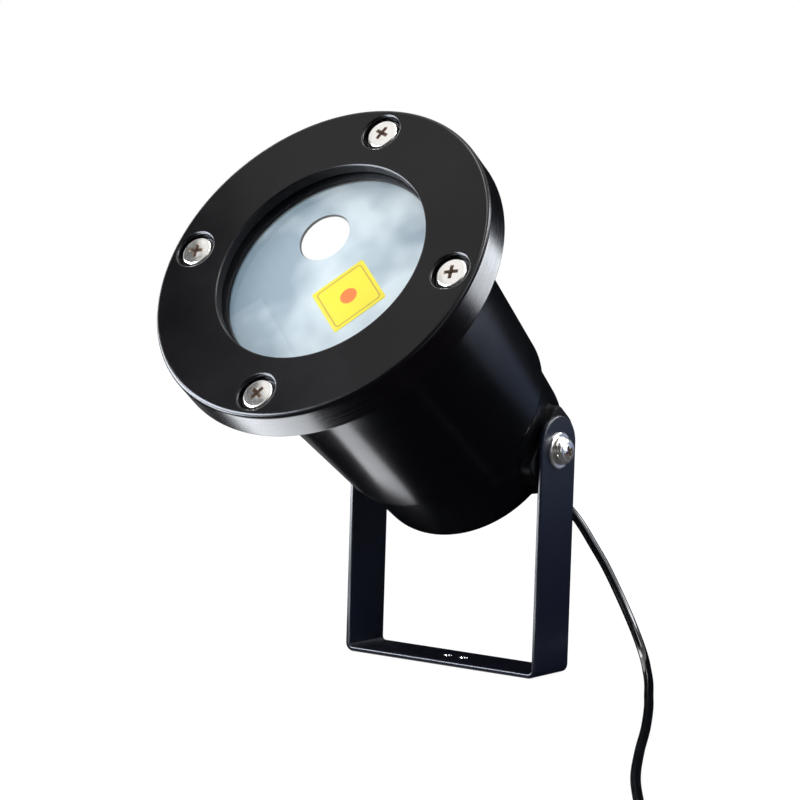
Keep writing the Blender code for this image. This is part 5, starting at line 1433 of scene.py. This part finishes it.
world = bpy.data.worlds.new("studio_world")
bpy.context.scene.world = world
world.use_nodes = True
world_tree = world.node_tree
background = world_tree.nodes["Background"]
background.inputs["Color"].default_value = (1.0, 1.0, 1.0, 1.0)
world_seen = math_node(world_tree, "MULTIPLY", seen_rays(world_tree), 1 - WORLD_LIGHT)
world_tree.links.new(math_node(world_tree, "ADD", world_seen, WORLD_LIGHT),
                     background.inputs["Strength"])

floor_material, floor_tree, floor_shader = new_material("studio_floor")
floor_shader.inputs["Base Color"].default_value = FLOOR_TONE
floor_shader.inputs["Roughness"].default_value = FLOOR_ROUGHNESS
floor_shader.inputs["Specular IOR Level"].default_value = 0.0
floor_glow = floor_tree.nodes.new("ShaderNodeEmission")
floor_glow.inputs["Strength"].default_value = FLOOR_WHITE
floor_seen = math_node(floor_tree, "MULTIPLY", seen_rays(floor_tree), FLOOR_SHARE)
mixed_surface(floor_tree, floor_seen, floor_shader.outputs[0], floor_glow.outputs[0])
stage_plane("studio_floor", FLOOR_CORNERS, floor_material)


# %% Cards
def reflection_card(name, corners, color):
    """A card that only reflections see: no camera, shadow or bounced light."""
    material = bpy.data.materials.new(name)
    material.use_nodes = True
    tree = material.node_tree
    tree.nodes.clear()
    out = tree.nodes.new("ShaderNodeOutputMaterial")
    glow = tree.nodes.new("ShaderNodeEmission")
    glow.inputs["Color"].default_value = (*color, 1.0)
    tree.links.new(glow.outputs[0], out.inputs["Surface"])
    card = stage_plane(name, corners, material)
    card.visible_camera = False
    card.visible_diffuse = False
    card.visible_transmission = False
    card.visible_shadow = False


def level_sheet(corners, height):
    """Corners of a level sheet: flat corners, all at one height."""
    return [(*corner, height) for corner in corners]


def standing_sheet(start, end, low, high):
    """Corners of an upright rectangle over the line from start to end."""
    return [(*start, low), (*end, low), (*end, high), (*start, high)]


# Floor rectangles: (x from, y from, x to, y to), height, colour times strength.
FLOOR_CARDS = {
    "dark_floor_card": ((-0.60, -0.80, 0.90, 0.90), 0.0004, (0.004, 0.004, 0.006)),
    "blue_floor_card": ((0.20, 0.22, 0.90, 0.90), 0.0006, (0.20, 0.25, 0.40)),
    "front_glow_card": ((-0.085, -0.105, 0.006, -0.052), 0.0008, (11.0, 11.4, 12.0)),
    "barrel_glow_card": ((-0.034, -0.055, -0.010, -0.014), 0.0008, (4.4, 4.5, 4.7)),
    "far_glow_card": ((-0.26, 0.03, -0.11, 0.20), 0.0006, (0.2, 0.2, 0.21)),
    "bevel_glow_card": ((-0.36, -0.36, -0.12, -0.17), 0.0008, (36.0, 38.0, 41.0)),
}
for name, ((x0, y0, x1, y1), height, color) in FLOOR_CARDS.items():
    reflection_card(name, level_sheet([(x0, y0), (x1, y0), (x1, y1), (x0, y1)], height), color)

# A shade over the ring's dark side hangs where the ring's face looks. It is laid out along its
# own two axes: "into" the shade from the line where it begins, and "along" that line. It fades
# in by strips, and under each screw hangs a white patch that keeps the plating bright. Each
# part is (into from, to, along from, to, height over the shade, grey).
SHADE_PLACE, SHADE_HEIGHT = np.array([-0.1724, -0.1441]), 0.30
SHADE_INTO, SHADE_ALONG = np.array([-0.877, -0.481]), np.array([0.481, -0.877])
SHADE_PARTS = {
    "shade_strip_1": (-0.012, -0.006, -0.10, 0.16, 0.0, 0.80),
    "shade_strip_2": (-0.006, 0.000, -0.10, 0.16, 0.0, 0.60),
    "shade_strip_3": (0.000, 0.006, -0.10, 0.16, 0.0, 0.40),
    "shade_strip_4": (0.006, 0.012, -0.10, 0.16, 0.0, 0.20),
    "shade_card": (0.012, 0.200, -0.10, 0.16, 0.0, 0.02),
    "left_screw_patch": (0.007, 0.032, -0.004, 0.021, -0.001, 1.12),
    "bottom_screw_patch": (0.012, 0.037, 0.039, 0.064, -0.001, 1.12),
}
for name, (into_0, into_1, along_0, along_1, drop, grey) in SHADE_PARTS.items():
    corners = [SHADE_PLACE + into * SHADE_INTO + along * SHADE_ALONG for into, along in
               ((into_0, along_0), (into_1, along_0), (into_1, along_1), (into_0, along_1))]
    reflection_card(name, level_sheet(corners, SHADE_HEIGHT + drop), (grey, grey, grey))

# Standing and hanging cards: corners, colour times strength.
CEILING = 0.8
HUNG_CARDS = {
    "dark_back_card": (standing_sheet((-0.95, 0.9), (0.22, 0.9), 0.0, 0.65),
                       (0.004, 0.005, 0.007)),
    "bracket_flag": (standing_sheet((-0.028, 0.012), (0.028, 0.012), 0.0, 0.045),
                     (0.003, 0.003, 0.004)),
    "blue_back_card": (standing_sheet((0.22, 0.9), (0.90, 0.9), 0.0, 0.50), (0.20, 0.25, 0.40)),
    "blue_side_card": (standing_sheet((0.90, -0.30), (0.90, 0.9), 0.0, 0.50),
                       (0.10, 0.14, 0.28)),
    "ring_glow_card": ([(0.182, 0.10, 0.050), (0.086, 0.10, 0.116), (0.104, 0.10, 0.150),
                        (0.206, 0.10, 0.086)], (18.5, 19.4, 20.6)),
    "left_strip_card": (standing_sheet((-0.30, -0.25), (-0.30, -0.085), 0.0, 0.16),
                        (21.0, 22.0, 23.4)),
    "front_strip_card": (standing_sheet((-0.31, -0.240), (-0.15, -0.38), 0.10, 0.25),
                         (38.0, 41.0, 46.0)),
    "top_strip_card": (level_sheet([(0.08, -0.30), (0.22, -0.30), (-0.12, 0.22), (-0.26, 0.10)],
                                   CEILING), (10.5, 10.5, 10.8)),
    "rim_glow_card": (level_sheet([(0.58, -0.12), (0.74, -0.02), (0.48, 0.47), (0.32, 0.33)],
                                  CEILING), (34.0, 35.0, 36.5)),
    "cord_glow_card": (level_sheet([(0.62, 0.50), (0.80, 0.50), (0.70, 1.03), (0.52, 1.03)],
                                   CEILING), (26.0, 26.6, 27.6)),
    "dark_front_card": (standing_sheet((-0.05, -0.78), (0.95, -0.78), 0.0, 0.95),
                        (0.003, 0.003, 0.004)),
}
for name, (corners, color) in HUNG_CARDS.items():
    reflection_card(name, corners, color)
card_count = len(FLOOR_CARDS) + len(SHADE_PARTS) + len(HUNG_CARDS)

# %% Soft boxes
LAMP_MIDDLE = np.array([0.0, 0.0, 0.08])


def soft_box(name, place, size, power, color=(1.0, 1.0, 1.0)):
    """A rectangular area lamp at a place, turned towards the middle of the laser lamp."""
    data = bpy.data.lights.new(name, "AREA")
    data.shape = "RECTANGLE"
    data.size, data.size_y = size
    data.energy = power
    data.color = color
    lamp = bpy.data.objects.new(name, data)
    bpy.context.scene.collection.objects.link(lamp)
    back = np.array(place, float) - LAMP_MIDDLE
    back /= np.linalg.norm(back)
    right = np.cross((0, 0, 1), back)
    right /= np.linalg.norm(right)
    lamp.matrix_world = placed(np.column_stack([right, np.cross(back, right), back]), place)
    return lamp


soft_boxes = [soft_box("left_box", (-1.2, 0.3, 0.5), (0.5, 0.8), 8.0, (0.95, 0.98, 1.0)),
              soft_box("right_box", (1.1, -0.2, 0.5), (0.25, 0.8), 5.0, (0.85, 0.92, 1.0)),
              soft_box("front_box", (0.25, -1.2, 0.8), (0.5, 0.5), 6.0)]
soft_boxes[-1].visible_glossy = False
print(f"studio: world, floor, {card_count} cards, {len(soft_boxes)} soft boxes")
